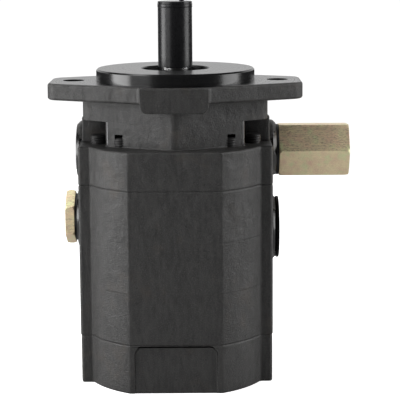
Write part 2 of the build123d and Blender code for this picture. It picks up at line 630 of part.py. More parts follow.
def bushings():
    """Every bush by name: its shaft and its place along the shaft."""
    made = {}
    centre_low = SMALL_POCKET_Z
    centre_high = FRONT_SEAM_Z - BUSHING_LENGTH
    rear = REAR_SEAM_Z - BUSHING_LENGTH
    fronts = {"drive": FRONT_DRIVE_BUSHING_LENGTH, "driven": FRONT_DRIVEN_BUSHING_LENGTH}
    for name, y in (("drive", 0), ("driven", GEAR_CENTRES)):
        made[f"{name}_bushing_front"] = bushing(LARGE_POCKET_Z, fronts[name], y)
        made[f"{name}_bushing_centre_upper"] = bushing(centre_high, BUSHING_LENGTH, y)
        made[f"{name}_bushing_centre_lower"] = bushing(centre_low, BUSHING_LENGTH, y)
        made[f"{name}_bushing_rear"] = bushing(rear, BUSHING_LENGTH, y)
    return made


def wear_plate(bottom):
    """Figure-of-eight plate that seals the side of a gear pair."""
    face = two_rounds(POCKET_RADIUS - WEAR_PLATE_CLEARANCE)
    for y in (0, GEAR_CENTRES):
        face -= Pos(0, y) * Circle(SHAFT_RADIUS + SHAFT_BORE_CLEARANCE)
    return extrude(Pos(0, 0, bottom) * face, WEAR_PLATE_THICKNESS)


def shaft_seal():
    """Lip seal: a stiff outer wall, a dished face and a lip round the shaft."""
    outer = SEAL_RADIUS - SEATING_CLEARANCE
    lip = SHAFT_RADIUS + RUNNING_CLEARANCE
    dish = SEAL_TOP - SEAL_DISH
    section = [
        (outer, SEAL_BOTTOM_Z), (outer, SEAL_TOP), (SEAL_FACE_INNER_RADIUS, SEAL_TOP),
        (SEAL_HUB_RADIUS, dish), (lip, dish), (lip, dish - SEAL_WALL),
        (SEAL_HUB_RADIUS, dish - 2 * SEAL_WALL), (SEAL_HUB_RADIUS, dish - 3 * SEAL_WALL),
        (SEAL_FACE_INNER_RADIUS, dish - 3 * SEAL_WALL), (SEAL_FACE_INNER_RADIUS, SEAL_TOP - 2 * SEAL_WALL),
        (outer - SEAL_WALL, SEAL_TOP - 2 * SEAL_WALL), (outer - SEAL_WALL, SEAL_BOTTOM_Z),
    ]
    return revolve(make_face(Plane.XZ * Polyline(*section, close=True)), Axis.Z)


def seal_retaining_ring():
    """Internal snap ring above the seal, open at the rear, with two pierced ears."""
    outer = SEAL_RADIUS + SNAP_RING_GROOVE_DEPTH - SEATING_CLEARANCE
    band = Circle(outer) - Circle(SNAP_RING_INNER_RADIUS)
    band -= Pos(0, OUTSIDE / 2) * Rectangle(SNAP_RING_GAP, OUTSIDE)
    ear_y = SEAL_RADIUS - SNAP_RING_EAR_RADIUS - SEATING_CLEARANCE
    ear_x = SNAP_RING_GAP / 2 + SNAP_RING_EAR_RADIUS
    for side in (1, -1):
        ear = Pos(side * ear_x, ear_y) * Circle(SNAP_RING_EAR_RADIUS)
        band += ear & Circle(SEAL_RADIUS - SEATING_CLEARANCE)
        band -= Pos(side * ear_x, ear_y) * Circle(SNAP_RING_EAR_HOLE)
    return extrude(Pos(0, 0, SEAL_TOP + SNAP_RING_SIDE_CLEARANCE) * band, SNAP_RING_THICKNESS)


def tie_bolt(x, y):
    """Socket-head bolt from the sink in the rear cover up to the foot of the neck."""
    seat = BOTTOM_Z + TIE_BOLT_SINK
    shank = upright(TIE_BOLT_RADIUS, seat, TIE_BOLT_TIP_Z, x, y)
    shank = chamfer(shank.edges().filter_by(GeomType.CIRCLE).sort_by(Axis.Z)[-1], TIE_BOLT_END_CHAMFER)
    head_bottom = seat - TIE_BOLT_HEAD_HEIGHT
    head = upright(TIE_BOLT_HEAD_RADIUS, head_bottom, seat, x, y)
    head = chamfer(head.edges().filter_by(GeomType.CIRCLE).sort_by(Axis.Z)[0], TIE_BOLT_END_CHAMFER)
    socket = Pos(x, y, head_bottom) * RegularPolygon(TIE_BOLT_SOCKET / 2, 6, major_radius=False)
    return shank + head - extrude(socket, TIE_BOLT_SOCKET_DEPTH)


def dowel(x, y, seam_z):
    """Dowel pin across a seam."""
    pin = upright(DOWEL_RADIUS, seam_z - DOWEL_LENGTH / 2, seam_z + DOWEL_LENGTH / 2, x, y)
    return chamfer(pin.edges().filter_by(GeomType.CIRCLE), DOWEL_CHAMFER)


def seam_ring(z):
    """Section seal lying in its groove."""
    path = seam_ring_path(z)
    start = Plane(origin=path @ 0, z_dir=path % 0)
    return sweep(start * Circle(SEAM_RING_RADIUS), path=path)


def hexagon(across_flats, start, end, z, turn, corner):
    """Hexagon bar along X, with an edge towards the front and chamfered corners at both ends."""
    plane = Plane(origin=(start, MID_Y, z), x_dir=(0, 1, 0), z_dir=(1, 0, 0))
    outline = RegularPolygon(across_flats / 2, 6, major_radius=False, rotation=turn)
    bar = extrude(plane * outline, end - start)
    turned = crosswise(across_flats / 2 / cos(pi / 6), start, end, z)
    turned = chamfer(turned.edges().filter_by(GeomType.CIRCLE), corner, corner / 2)
    return bar & turned


def outlet_adapter():
    """Long hexagon adapter with a stem in the port and an inside thread at its outer end."""
    z = OUTLET_Z
    body = hexagon(ADAPTER_ACROSS_FLATS, ADAPTER_START, ADAPTER_END, z, ADAPTER_TURN,
                   ADAPTER_CORNER_CHAMFER)
    body += crosswise(ADAPTER_STEM_RADIUS, CHECK_BORE_END, ADAPTER_START, z)
    body -= crosswise(ADAPTER_BORE_RADIUS, CHECK_BORE_END, ADAPTER_END, z)
    body -= crosswise(ADAPTER_THREAD_RADIUS, ADAPTER_END - ADAPTER_THREAD_LENGTH, ADAPTER_END, z)
    mouth = Plane(origin=(ADAPTER_END - ADAPTER_THREAD_CHAMFER, MID_Y, z), z_dir=(1, 0, 0))
    cone = Cone(ADAPTER_THREAD_RADIUS, ADAPTER_THREAD_RADIUS + ADAPTER_THREAD_CHAMFER,
                ADAPTER_THREAD_CHAMFER, align=(Align.CENTER, Align.CENTER, Align.MIN))
    return body - mouth * cone


def port_ring(side, stem_radius, z):
    """Black ring between a boss and the hexagon that tightens on it."""
    start = side * BOSS_FACE
    end = side * (BOSS_FACE + SEAL_RING_THICKNESS)
    outer = crosswise(stem_radius + SEAL_RING_WIDTH, min(start, end), max(start, end), z)
    outer = fillet(outer.edges().filter_by(GeomType.CIRCLE), SEAL_RING_THICKNESS / 3)
    return outer - crosswise(stem_radius + PORT_THREAD_CLEARANCE, min(start, end), max(start, end), z)


def check_poppet():
    """Cup-shaped poppet that closes the way back from the outlet."""
    z = OUTLET_Z
    start = CHECK_SEAT_X + VALVE_SEAT_GAP
    end = start + CHECK_POPPET_LENGTH
    radius = CHECK_BORE_RADIUS - VALVE_SLIDING_CLEARANCE
    cup = crosswise(radius, start, end, z)
    cup -= crosswise(radius - CHECK_POPPET_WALL, start + CHECK_POPPET_FLOOR, end, z)
    nose_radius = CHECK_SEAT_RADIUS - VALVE_SLIDING_CLEARANCE
    nose = crosswise(nose_radius, start - CHECK_POPPET_NOSE, start, z)
    tip = nose.edges().filter_by(GeomType.CIRCLE).sort_by(Axis.X)[0]
    return cup + chamfer(tip, CHECK_POPPET_NOSE / 2)


def spring_x(mean_radius, wire, turns, start, end, z):
    """Coil spring along X between two flat seats."""
    length = end - start - 2 * wire
    coil = Helix(pitch=length / turns, height=length, radius=mean_radius)
    section = Plane(origin=coil @ 0, z_dir=coil % 0) * Circle(wire)
    spring = sweep(section, path=coil, is_frenet=True)
    return Plane(origin=(start + wire, MID_Y, z), x_dir=(0, 1, 0), z_dir=(1, 0, 0)) * spring


def check_spring():
    """Spring between the check poppet and the adapter's stem."""
    start = CHECK_SEAT_X + VALVE_SEAT_GAP + CHECK_POPPET_FLOOR
    outer = CHECK_BORE_RADIUS - VALVE_SLIDING_CLEARANCE - CHECK_POPPET_WALL
    mean = (outer + ADAPTER_BORE_RADIUS) / 2 - CHECK_SPRING_WIRE
    mean = min(mean, outer - 2 * CHECK_SPRING_WIRE)
    return spring_x(mean, CHECK_SPRING_WIRE, CHECK_SPRING_TURNS, start, CHECK_BORE_END, OUTLET_Z)


def valve_plug():
    """Hexagon plug over the unloading valve, bored for the valve's spring."""
    z = VALVE_Z
    head = hexagon(PLUG_ACROSS_FLATS, -PLUG_START - PLUG_HEAD_HEIGHT, -PLUG_START, z,
                   PLUG_TURN, PLUG_CORNER_CHAMFER)
    head += crosswise(PLUG_STEM_RADIUS, -PLUG_START, -UNLOADER_BORE_END, z)
    spring_seat = -UNLOADER_BORE_END - PLUG_SPRING_BORE_DEPTH
    return head - crosswise(PLUG_SPRING_BORE_RADIUS, spring_seat, -UNLOADER_BORE_END, z)


def unloading_piston():
    """Piston with a coned nose on the unloading seat."""
    z = VALVE_Z
    end = -UNLOADER_SEAT_X - VALVE_SEAT_GAP
    radius = UNLOADER_BORE_RADIUS - VALVE_SLIDING_CLEARANCE
    bar = crosswise(radius, end - UNLOADER_PISTON_LENGTH, end, z)
    nose = crosswise(UNLOADER_SEAT_RADIUS - VALVE_SLIDING_CLEARANCE, end, end + UNLOADER_PISTON_NOSE, z)
    tip = nose.edges().filter_by(GeomType.CIRCLE).sort_by(Axis.X)[-1]
    return bar + chamfer(tip, UNLOADER_PISTON_NOSE / 2)


def unloading_spring():
    """Spring between the plug and the unloading piston."""
    start = -UNLOADER_BORE_END - PLUG_SPRING_BORE_DEPTH
    end = -UNLOADER_SEAT_X - VALVE_SEAT_GAP - UNLOADER_PISTON_LENGTH
    return spring_x(UNLOADER_SPRING_RADIUS, UNLOADER_SPRING_WIRE, UNLOADER_SPRING_TURNS,
                    start, end, VALVE_Z)


def inlet_cap():
    """Push-in plastic cap: a thin flange and a hollow plug, open to the outside."""
    z = INLET_Z
    face = BOSS_FACE + VALVE_SEAT_GAP
    flange = crosswise(INLET_CAP_RADIUS, face, face + INLET_CAP_THICKNESS, z)
    outer_rim = flange.edges().filter_by(GeomType.CIRCLE).sort_by(Axis.X)[-1]
    flange = fillet(outer_rim, INLET_CAP_EDGE_RADIUS)
    plug_radius = INLET_RADIUS - INLET_CAP_CLEARANCE
    cap = flange + crosswise(plug_radius, face - INLET_CAP_REACH, face, z)
    hollow = crosswise(plug_radius - INLET_CAP_WALL, face - INLET_CAP_REACH + INLET_CAP_WALL, OUTSIDE, z)
    return cap - hollow


def stages():
    """The four gears: the driven ones are turned by half a tooth so that they mesh."""
    large_top = FRONT_SEAM_Z + LARGE_POCKET_DEPTH - WEAR_PLATE_THICKNESS - GEAR_SIDE_CLEARANCE
    small_top = REAR_SEAM_Z + SMALL_POCKET_DEPTH - WEAR_PLATE_THICKNESS - GEAR_SIDE_CLEARANCE
    large = LARGE_GEAR_WIDTH - 2 * GEAR_SIDE_CLEARANCE
    small = SMALL_GEAR_WIDTH - 2 * GEAR_SIDE_CLEARANCE
    drive_turn = 90
    driven_turn = 270 + 180 / TEETH
    return {
        "large_drive_gear": gear(large, large_top, 0, drive_turn),
        "large_driven_gear": gear(large, large_top, GEAR_CENTRES, driven_turn),
        "small_drive_gear": gear(small, small_top, 0, drive_turn),
        "small_driven_gear": gear(small, small_top, GEAR_CENTRES, driven_turn),
    }


def every_part():
    """Every node by name."""
    parts = {
        "front_housing": front_housing(),
        "centre_housing": centre_housing(),
        "rear_cover": rear_cover(),
        "drive_shaft": drive_shaft(),
        "driven_shaft": shaft(SHAFT_BOTTOM_Z, DRIVEN_SHAFT_TOP_Z, GEAR_CENTRES),
        "drive_gear_keys": Compound(children=gear_keys(0)),
        "driven_gear_keys": Compound(children=gear_keys(GEAR_CENTRES)),
        "large_wear_plate_front": wear_plate(LARGE_POCKET_Z - WEAR_PLATE_THICKNESS),
        "large_wear_plate_rear": wear_plate(FRONT_SEAM_Z),
        "small_wear_plate_front": wear_plate(SMALL_POCKET_Z - WEAR_PLATE_THICKNESS),
        "small_wear_plate_rear": wear_plate(REAR_SEAM_Z),
        "shaft_seal": shaft_seal(),
        "seal_retaining_ring": seal_retaining_ring(),
        "shaft_sleeve": shaft_sleeve(),
        "tie_bolts": Compound(children=[tie_bolt(x, y) for x, y in bolt_places()]),
        "front_seam_dowels": Compound(children=[dowel(x, y, FRONT_SEAM_Z) for x, y in dowel_places()]),
        "rear_seam_dowels": Compound(children=[dowel(x, y, REAR_SEAM_Z) for x, y in dowel_places()]),
        "front_seam_ring": seam_ring(FRONT_SEAM_Z - SEAM_RING_RADIUS),
        "rear_seam_ring": seam_ring(REAR_SEAM_Z + SEAM_RING_RADIUS),
        "outlet_adapter": outlet_adapter(),
        "adapter_seal_ring": port_ring(1, ADAPTER_STEM_RADIUS, OUTLET_Z),
        "check_poppet": check_poppet(),
        "check_spring": check_spring(),
        "valve_plug": valve_plug(),
        "plug_seal_ring": port_ring(-1, PLUG_STEM_RADIUS, VALVE_Z),
        "unloading_piston": unloading_piston(),
        "unloading_spring": unloading_spring(),
        "inlet_cap": inlet_cap(),
    }
    parts.update(bushings())
    parts.update(stages())
    return parts


for name, solid in every_part().items():
    export_step(solid, f"parts/{name}.step")
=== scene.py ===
import json
import math

import bmesh
import bpy
from bpy.props import FloatProperty, FloatVectorProperty, IntProperty, PointerProperty
from mathutils import Matrix, Vector
from mathutils.bvhtree import BVHTree


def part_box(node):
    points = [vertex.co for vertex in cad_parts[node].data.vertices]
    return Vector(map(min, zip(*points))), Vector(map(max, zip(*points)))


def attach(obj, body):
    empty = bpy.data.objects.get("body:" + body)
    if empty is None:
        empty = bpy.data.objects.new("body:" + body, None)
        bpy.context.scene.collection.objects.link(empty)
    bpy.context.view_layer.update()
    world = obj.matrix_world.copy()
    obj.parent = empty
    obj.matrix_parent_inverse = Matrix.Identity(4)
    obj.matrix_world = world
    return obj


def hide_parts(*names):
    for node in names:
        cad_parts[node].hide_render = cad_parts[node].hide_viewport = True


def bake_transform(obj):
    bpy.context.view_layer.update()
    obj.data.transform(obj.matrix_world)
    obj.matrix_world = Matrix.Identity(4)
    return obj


bl_info = {
    "name": "Two-stage gear pump",
    "version": (1, 0, 0),
    "blender": (4, 5, 0),
    "location": "View3D > Sidebar > Pump",
    "description": "Dresses a cast-iron two-stage gear pump with its finishes, threads and casting marks",
    "category": "Object",
}

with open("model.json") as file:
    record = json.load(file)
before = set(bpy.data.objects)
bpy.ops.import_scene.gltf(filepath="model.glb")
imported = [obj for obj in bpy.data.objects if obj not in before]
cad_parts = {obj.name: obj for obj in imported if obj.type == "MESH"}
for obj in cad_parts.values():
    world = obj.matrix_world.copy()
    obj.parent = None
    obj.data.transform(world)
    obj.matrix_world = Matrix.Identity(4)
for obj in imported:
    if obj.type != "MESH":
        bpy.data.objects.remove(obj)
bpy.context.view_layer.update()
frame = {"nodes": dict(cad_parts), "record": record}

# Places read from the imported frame, in metres
HOUSING_LOW, HOUSING_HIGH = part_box("front_housing")
CENTRE_LOW, CENTRE_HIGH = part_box("centre_housing")
COVER_LOW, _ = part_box("rear_cover")
ADAPTER_LOW, ADAPTER_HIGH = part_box("outlet_adapter")
PLUG_LOW, PLUG_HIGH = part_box("valve_plug")
CAP_LOW, CAP_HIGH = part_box("inlet_cap")
SEAL_LOW, SEAL_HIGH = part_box("shaft_seal")
DRIVEN_LOW, DRIVEN_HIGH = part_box("driven_shaft")
PLATE_LOW, PLATE_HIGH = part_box("large_wear_plate_front")

FLOOR_Z = COVER_LOW.z
FRONT_SEAM_Z = HOUSING_LOW.z
REAR_SEAM_Z = CENTRE_LOW.z
PILOT_TOP_Z = HOUSING_HIGH.z
MOUNTING_FACE_Z = 0.0
DRIVEN_Y = (DRIVEN_LOW.y + DRIVEN_HIGH.y) / 2
PORT_Y = DRIVEN_Y / 2
OUTLET_Z = (ADAPTER_LOW.z + ADAPTER_HIGH.z) / 2
PLUG_Z = (PLUG_LOW.z + PLUG_HIGH.z) / 2
INLET_Z = (CAP_LOW.z + CAP_HIGH.z) / 2
BOSS_FACE_X = CENTRE_HIGH.x
MILLIMETRE = 0.001
TOLERANCE = 0.05 * MILLIMETRE


def mount_size(mount, size):
    """A size of one of the record's mounts, in metres."""
    for row in frame["record"]["mounts"]:
        if row["name"] == mount:
            return row["dims"][size] * MILLIMETRE
    raise KeyError(mount)


PILOT_RADIUS = mount_size("mounting_pilot", "r_mm")
FLANGE_HOLE_SPACING = mount_size("mounting_holes", "spacing_x_mm")
OUTLET_RADIUS = mount_size("outlet_thread", "r_mm")


class CastingSettings(bpy.types.PropertyGroup):
    """Sizes and colours of the three castings."""

    cast_edge: FloatProperty(
        name="Cast edge", description="Rounding of rough cast edges and of the hollows between walls",
        default=0.0006, min=0.0, unit="LENGTH")
    paint: FloatVectorProperty(
        name="Black finish", description="Colour of the blackened iron", subtype="COLOR",
        default=(0.030, 0.029, 0.028), min=0.0, max=1.0)
    turned: FloatVectorProperty(
        name="Turned side", description="Colour of the dark turned sides and bores", subtype="COLOR",
        default=(0.010, 0.010, 0.0105), min=0.0, max=1.0)
    stain: FloatVectorProperty(
        name="Brown stain", description="Colour of the faint oily stains", subtype="COLOR",
        default=(0.052, 0.040, 0.030), min=0.0, max=1.0)
    machined: FloatVectorProperty(
        name="Machined face", description="Colour of turned and milled iron", subtype="COLOR",
        default=(0.15, 0.15, 0.152), min=0.0, max=1.0)
    grain_size: FloatProperty(
        name="Grain size", description="Size of the sand grain on cast walls", default=0.0007,
        min=0.0001, unit="LENGTH")


class HardwareSettings(bpy.types.PropertyGroup):
    """Sizes and colours of the fittings, bolts and caps."""

    fitting_edge: FloatProperty(
        name="Fitting edge", description="Rounding of the hexagon edges of adapter and plug",
        default=0.0002, min=0.0, unit="LENGTH")
    bolt_pitch: FloatProperty(
        name="Bolt pitch", description="Thread pitch of the tie bolts", default=0.00125, min=0.0005,
        unit="LENGTH")
    bolt_thread_depth: FloatProperty(
        name="Bolt thread depth", description="Height of the thread on the bolt ends", default=0.0004,
        min=0.0, unit="LENGTH")
    outlet_pitch: FloatProperty(
        name="Outlet pitch", description="Thread pitch inside the outlet adapter", default=0.0018,
        min=0.0005, unit="LENGTH")
    outlet_thread_depth: FloatProperty(
        name="Outlet thread depth", description="Height of the thread inside the outlet adapter",
        default=0.0008, min=0.0, unit="LENGTH")
    thread_steps: IntProperty(
        name="Thread steps", description="Steps in each turn of a thread", default=40, min=12)
    zinc: FloatVectorProperty(
        name="Yellow zinc", description="Main colour of the passivated zinc", subtype="COLOR",
        default=(1.0, 0.84, 0.55), min=0.0, max=1.0)
    zinc_blush: FloatVectorProperty(
        name="Zinc blush", description="Pinkish patches in the passivated zinc", subtype="COLOR",
        default=(0.88, 0.62, 0.45), min=0.0, max=1.0)
    zinc_green: FloatVectorProperty(
        name="Zinc green", description="Greenish patches in the yellow zinc", subtype="COLOR",
        default=(0.84, 0.86, 0.50), min=0.0, max=1.0)
    zinc_speck: FloatVectorProperty(
        name="Zinc speck", description="Dark brown specks in the passivated zinc", subtype="COLOR",
        default=(0.30, 0.19, 0.11), min=0.0, max=1.0)


class StageSettings(bpy.types.PropertyGroup):
    """Camera, floor and lights."""

    camera_place: FloatVectorProperty(
        name="Camera", description="Place of the camera", subtype="XYZ", unit="LENGTH",
        default=(0.0137, -0.740, 0.0701))
    camera_pitch: FloatProperty(
        name="Pitch", description="How far the camera looks down", subtype="ANGLE",
        default=math.radians(8.29))
    camera_roll: FloatProperty(
        name="Roll", description="How far the camera leans to one side", subtype="ANGLE",
        default=math.radians(-0.35))
    camera_lens: FloatProperty(
        name="Lens", description="Focal length for a sensor 36 mm wide, in millimetres", default=127.8,
        min=1.0)
    camera_shift: FloatVectorProperty(
        name="Shift", description="Shift of the frame right and up, as a share of its width", size=2,
        default=(-0.00525, -0.1225))
    floor_colour: FloatVectorProperty(
        name="Floor", description="Colour of the floor", subtype="COLOR", default=(0.93, 0.93, 0.93),
        min=0.0, max=1.0)
    floor_radius: FloatProperty(
        name="Floor radius", description="Radius of the round floor", default=0.7, min=0.3,
        unit="LENGTH")
    floor_glow: FloatProperty(
        name="Floor glow", description="Light that the camera sees from the floor itself",
        default=0.80, min=0.0)
    floor_bounce: FloatVectorProperty(
        name="Floor bounce", description="Colour of the floor as the object sees it",
        subtype="COLOR", default=(0.60, 0.60, 0.60), min=0.0, max=1.0)
    background: FloatProperty(
        name="Background", description="Brightness of the backdrop", default=1.05, min=0.0)
    fill: FloatProperty(
        name="Fill", description="Brightness of the room that lights the object", default=0.04,
        min=0.0)


def casting_settings():
    """Settings of the castings."""
    return bpy.context.scene.pump_casting


def hardware_settings():
    """Settings of the fittings, bolts and caps."""
    return bpy.context.scene.pump_hardware


def stage_settings():
    """Settings of the camera, floor and lights."""
    return bpy.context.scene.pump_stage


# Material building blocks

def start_material(name):
    """New node material, its tree and its shader."""
    material = bpy.data.materials.new(name)
    material.use_nodes = True
    tree = material.node_tree
    return material, tree, tree.nodes["Principled BSDF"]


def add_node(tree, kind, values):
    """Node of a kind with some of its inputs set or linked."""
    node = tree.nodes.new(kind)
    for label, value in values.items():
        if isinstance(value, bpy.types.NodeSocket):
            tree.links.new(value, node.inputs[label])
        else:
            node.inputs[label].default_value = value
    return node


def object_place(tree):
    """Object coordinates, in metres."""
    return tree.nodes.new("ShaderNodeTexCoord").outputs["Object"]


def stretched(tree, place, scale):
    """Coordinates scaled along each axis."""
    return add_node(tree, "ShaderNodeMapping", {"Vector": place, "Scale": scale}).outputs["Vector"]


def noise(tree, place, size, detail=4.0, roughness=0.6):
    """Noise whose lumps are about a given size in metres."""
    values = {"Vector": place, "Scale": 1.0 / size, "Detail": detail, "Roughness": roughness}
    return add_node(tree, "ShaderNodeTexNoise", values).outputs["Fac"]


def spots(tree, place, size):
    """Distance to scattered points about a given size apart, in metres."""
    values = {"Vector": place, "Scale": 1.0 / size}
    return add_node(tree, "ShaderNodeTexVoronoi", values).outputs["Distance"]


def remap(tree, value, low, high, new_low, new_high):
    """Value moved from one range to another and kept inside it."""
    labels = ("From Min", "From Max", "To Min", "To Max")
    values = dict(zip(labels, (low, high, new_low, new_high)))
    values["Value"] = value
    return add_node(tree, "ShaderNodeMapRange", values).outputs["Result"]


def combined(tree, operation, first, second):
    """Two values joined by one operation."""
    node = tree.nodes.new("ShaderNodeMath")
    node.operation = operation
    for socket, value in zip(node.inputs, (first, second)):
        if isinstance(value, bpy.types.NodeSocket):
            tree.links.new(value, socket)
        else:
            socket.default_value = value
    return node.outputs["Value"]


def blended(tree, factor, first, second):
    """Two colours mixed by a factor."""
    node = tree.nodes.new("ShaderNodeMix")
    node.data_type = "RGBA"
    tree.links.new(factor, node.inputs["Factor"])
    colour_inputs = [s for s in node.inputs if s.type == "RGBA"]
    for socket, colour in zip(colour_inputs, (first, second)):
        if isinstance(colour, bpy.types.NodeSocket):
            tree.links.new(colour, socket)
        else:
            socket.default_value = (*colour, 1.0)
    return [s for s in node.outputs if s.type == "RGBA"][0]


def bumped(tree, pattern, height, below=None):
    """Normal of a surface raised by a pattern, over the relief below it."""
    values = {"Height": pattern, "Distance": height, "Strength": 1.0}
    if below is not None:
        values["Normal"] = below
    return add_node(tree, "ShaderNodeBump", values).outputs["Normal"]


def height_above(tree, place):
    """Height of a point, in metres."""
    return add_node(tree, "ShaderNodeSeparateXYZ", {"Vector": place}).outputs["Z"]


def upward_slope(tree):
    """How far the surface turns up, from -1 to 1."""
    direction = tree.nodes.new("ShaderNodeTexCoord").outputs["Normal"]
    return add_node(tree, "ShaderNodeSeparateXYZ", {"Vector": direction}).outputs["Z"]


def distance_from_shaft(tree, place):
    """Distance of a point from the drive shaft's axis, in metres."""
    flat = add_node(tree, "ShaderNodeVectorMath", {0: place, 1: (1.0, 1.0, 0.0)})
    flat.operation = "MULTIPLY"
    radius = add_node(tree, "ShaderNodeVectorMath", {0: flat.outputs["Vector"]})
    radius.operation = "LENGTH"
    return radius.outputs["Value"]


def turned_marks(tree, place, width):
    """Fine tool marks that run round the drive shaft's axis, on ends and on sides."""
    along = combined(tree, "ADD", distance_from_shaft(tree, place), height_above(tree, place))
    marks = tree.nodes.new("ShaderNodeTexNoise")
    marks.noise_dimensions = "1D"
    tree.links.new(along, marks.inputs["W"])
    marks.inputs["Scale"].default_value = 1.0 / width
    marks.inputs["Detail"].default_value = 3.0
    return marks.outputs["Fac"]


# Finishes

# Sizes on the cast walls
STREAK_SIZE = 2.2 * MILLIMETRE
STREAK_STRETCH = (1.0, 1.0, 0.25)
STAIN_SIZE = 22 * MILLIMETRE
PIT_SPACING = 3.4 * MILLIMETRE
PIT_FIELD_SIZE = 12 * MILLIMETRE
LUMP_TO_GRAIN = 9
LUMP_HEIGHT = 0.35 * MILLIMETRE
GRAIN_HEIGHT = 0.32 * MILLIMETRE
PIT_DEPTH = 0.10 * MILLIMETRE
STEP_HEIGHT = 0.12 * MILLIMETRE
STEP_WIDTH = 0.3 * MILLIMETRE
STEP_PATCH_SIZE = 14 * MILLIMETRE
MOULD_STEP_LEVELS = (FRONT_SEAM_Z - 26 * MILLIMETRE, FRONT_SEAM_Z - 52 * MILLIMETRE)

# Sizes on turned and ground faces
FACE_MARK_WIDTH = 0.35 * MILLIMETRE
FACE_MARK_HEIGHT = 0.02 * MILLIMETRE
SIDE_MARK_WIDTH = 0.30 * MILLIMETRE
FINE_MARK_HEIGHT = 0.01 * MILLIMETRE
FACE_OIL_SIZE = 10 * MILLIMETRE
SIDE_OIL_SIZE = 6 * MILLIMETRE
# The foot line is a thin dark ring of painted shade round the pilot's foot.
FOOT_LINE_WIDTH = 0.7 * MILLIMETRE
FOOT_LINE_BLUR = 1.4
FOOT_LINE_LOW = 0.2 * MILLIMETRE
FOOT_LINE_HIGH = 0.5 * MILLIMETRE

# Sizes on the zinc plate
DRAWN_LINE_SIZE = 0.5 * MILLIMETRE
DRAWN_LINE_STRETCH = (0.04, 1.0, 1.0)
DRAWN_LINE_HEIGHT = 0.03 * MILLIMETRE
BLUSH_SIZE = 7 * MILLIMETRE
GREEN_SIZE = 5.5 * MILLIMETRE
MOTTLE_SIZE = 1.6 * MILLIMETRE
SPECK_SIZE = 0.7 * MILLIMETRE
SPECK_STRETCH = (0.45, 1.0, 1.0)
SPECK_HEIGHT = 0.35 * MILLIMETRE

# Sizes on plastic, rubber and blackened steel
SCUFF_SIZE = 1.2 * MILLIMETRE
SCUFF_STRETCH = (1.0, 1.0, 0.35)
WAVE_SIZE = 6 * MILLIMETRE
WAVE_HEIGHT = 0.1 * MILLIMETRE
PLASTIC_BLOOM_SIZE = 2.0 * MILLIMETRE
PLASTIC_BLOOM_HEIGHT = 0.04 * MILLIMETRE
RUBBER_BLOOM_SIZE = 1.5 * MILLIMETRE
RUBBER_BLOOM_HEIGHT = 0.05 * MILLIMETRE
OXIDE_PATCH_SIZE = 2.0 * MILLIMETRE
OXIDE_PATCH_HEIGHT = 0.04 * MILLIMETRE


def times(colour, share):
    """A colour made darker or lighter by a share."""
    return tuple(part * share for part in colour)


def mould_steps(tree, place):
    """Faint steps across the body where the parts of the mould met."""
    height = height_above(tree, place)
    steps = [remap(tree, height, z - STEP_WIDTH, z + STEP_WIDTH, 0.0, 1.0) for z in MOULD_STEP_LEVELS]
    both = combined(tree, "ADD", *steps)
    patch = noise(tree, place, STEP_PATCH_SIZE, detail=2.0)
    return combined(tree, "MULTIPLY", both, remap(tree, patch, 0.38, 0.55, 0.0, 1.0))


def black_casting():
    """Blackened sand casting: fine grain, soft lumps, pits and faint brown stains."""
    settings = casting_settings()
    material, tree, shader = start_material("black_casting_iron")
    place = object_place(tree)
    grain = noise(tree, place, settings.grain_size, detail=6.0, roughness=0.7)
    lumps = noise(tree, place, LUMP_TO_GRAIN * settings.grain_size, detail=3.0, roughness=0.5)
    streaks = noise(tree, stretched(tree, place, STREAK_STRETCH), STREAK_SIZE, detail=4.0)
    stain_patch = noise(tree, place, STAIN_SIZE, detail=5.0, roughness=0.65)
    pit_patch = noise(tree, place, PIT_FIELD_SIZE, detail=2.0)
    pit = remap(tree, spots(tree, place, PIT_SPACING), 0.05, 0.20, 1.0, 0.0)
    sparse = remap(tree, pit_patch, 0.52, 0.60, 0.0, 1.0)
    pits = combined(tree, "MULTIPLY", pit, sparse)

    paint = tuple(settings.paint)
    grey = blended(tree, remap(tree, streaks, 0.36, 0.66, 0.0, 1.0), times(paint, 0.45), paint)
    speckled = blended(tree, remap(tree, grain, 0.50, 0.72, 0.0, 0.9), grey, times(paint, 2.0))
    stained = blended(tree, remap(tree, stain_patch, 0.56, 0.74, 0.0, 0.75), speckled,
                      tuple(settings.stain))
    # Pits are coloured darker than the paint round them: painted shade inside the pits.
    tree.links.new(blended(tree, pits, stained, times(paint, 0.3)), shader.inputs["Base Color"])
    tree.links.new(remap(tree, lumps, 0.3, 0.7, 0.40, 0.52), shader.inputs["Roughness"])

    soft = bumped(tree, lumps, LUMP_HEIGHT)
    grainy = bumped(tree, grain, GRAIN_HEIGHT, below=soft)
    stepped = bumped(tree, mould_steps(tree, place), STEP_HEIGHT, below=grainy)
    pitted = bumped(tree, combined(tree, "SUBTRACT", 0.0, pits), PIT_DEPTH, below=stepped)
    tree.links.new(pitted, shader.inputs["Normal"])
    shader.inputs["Specular IOR Level"].default_value = 0.55
    return material


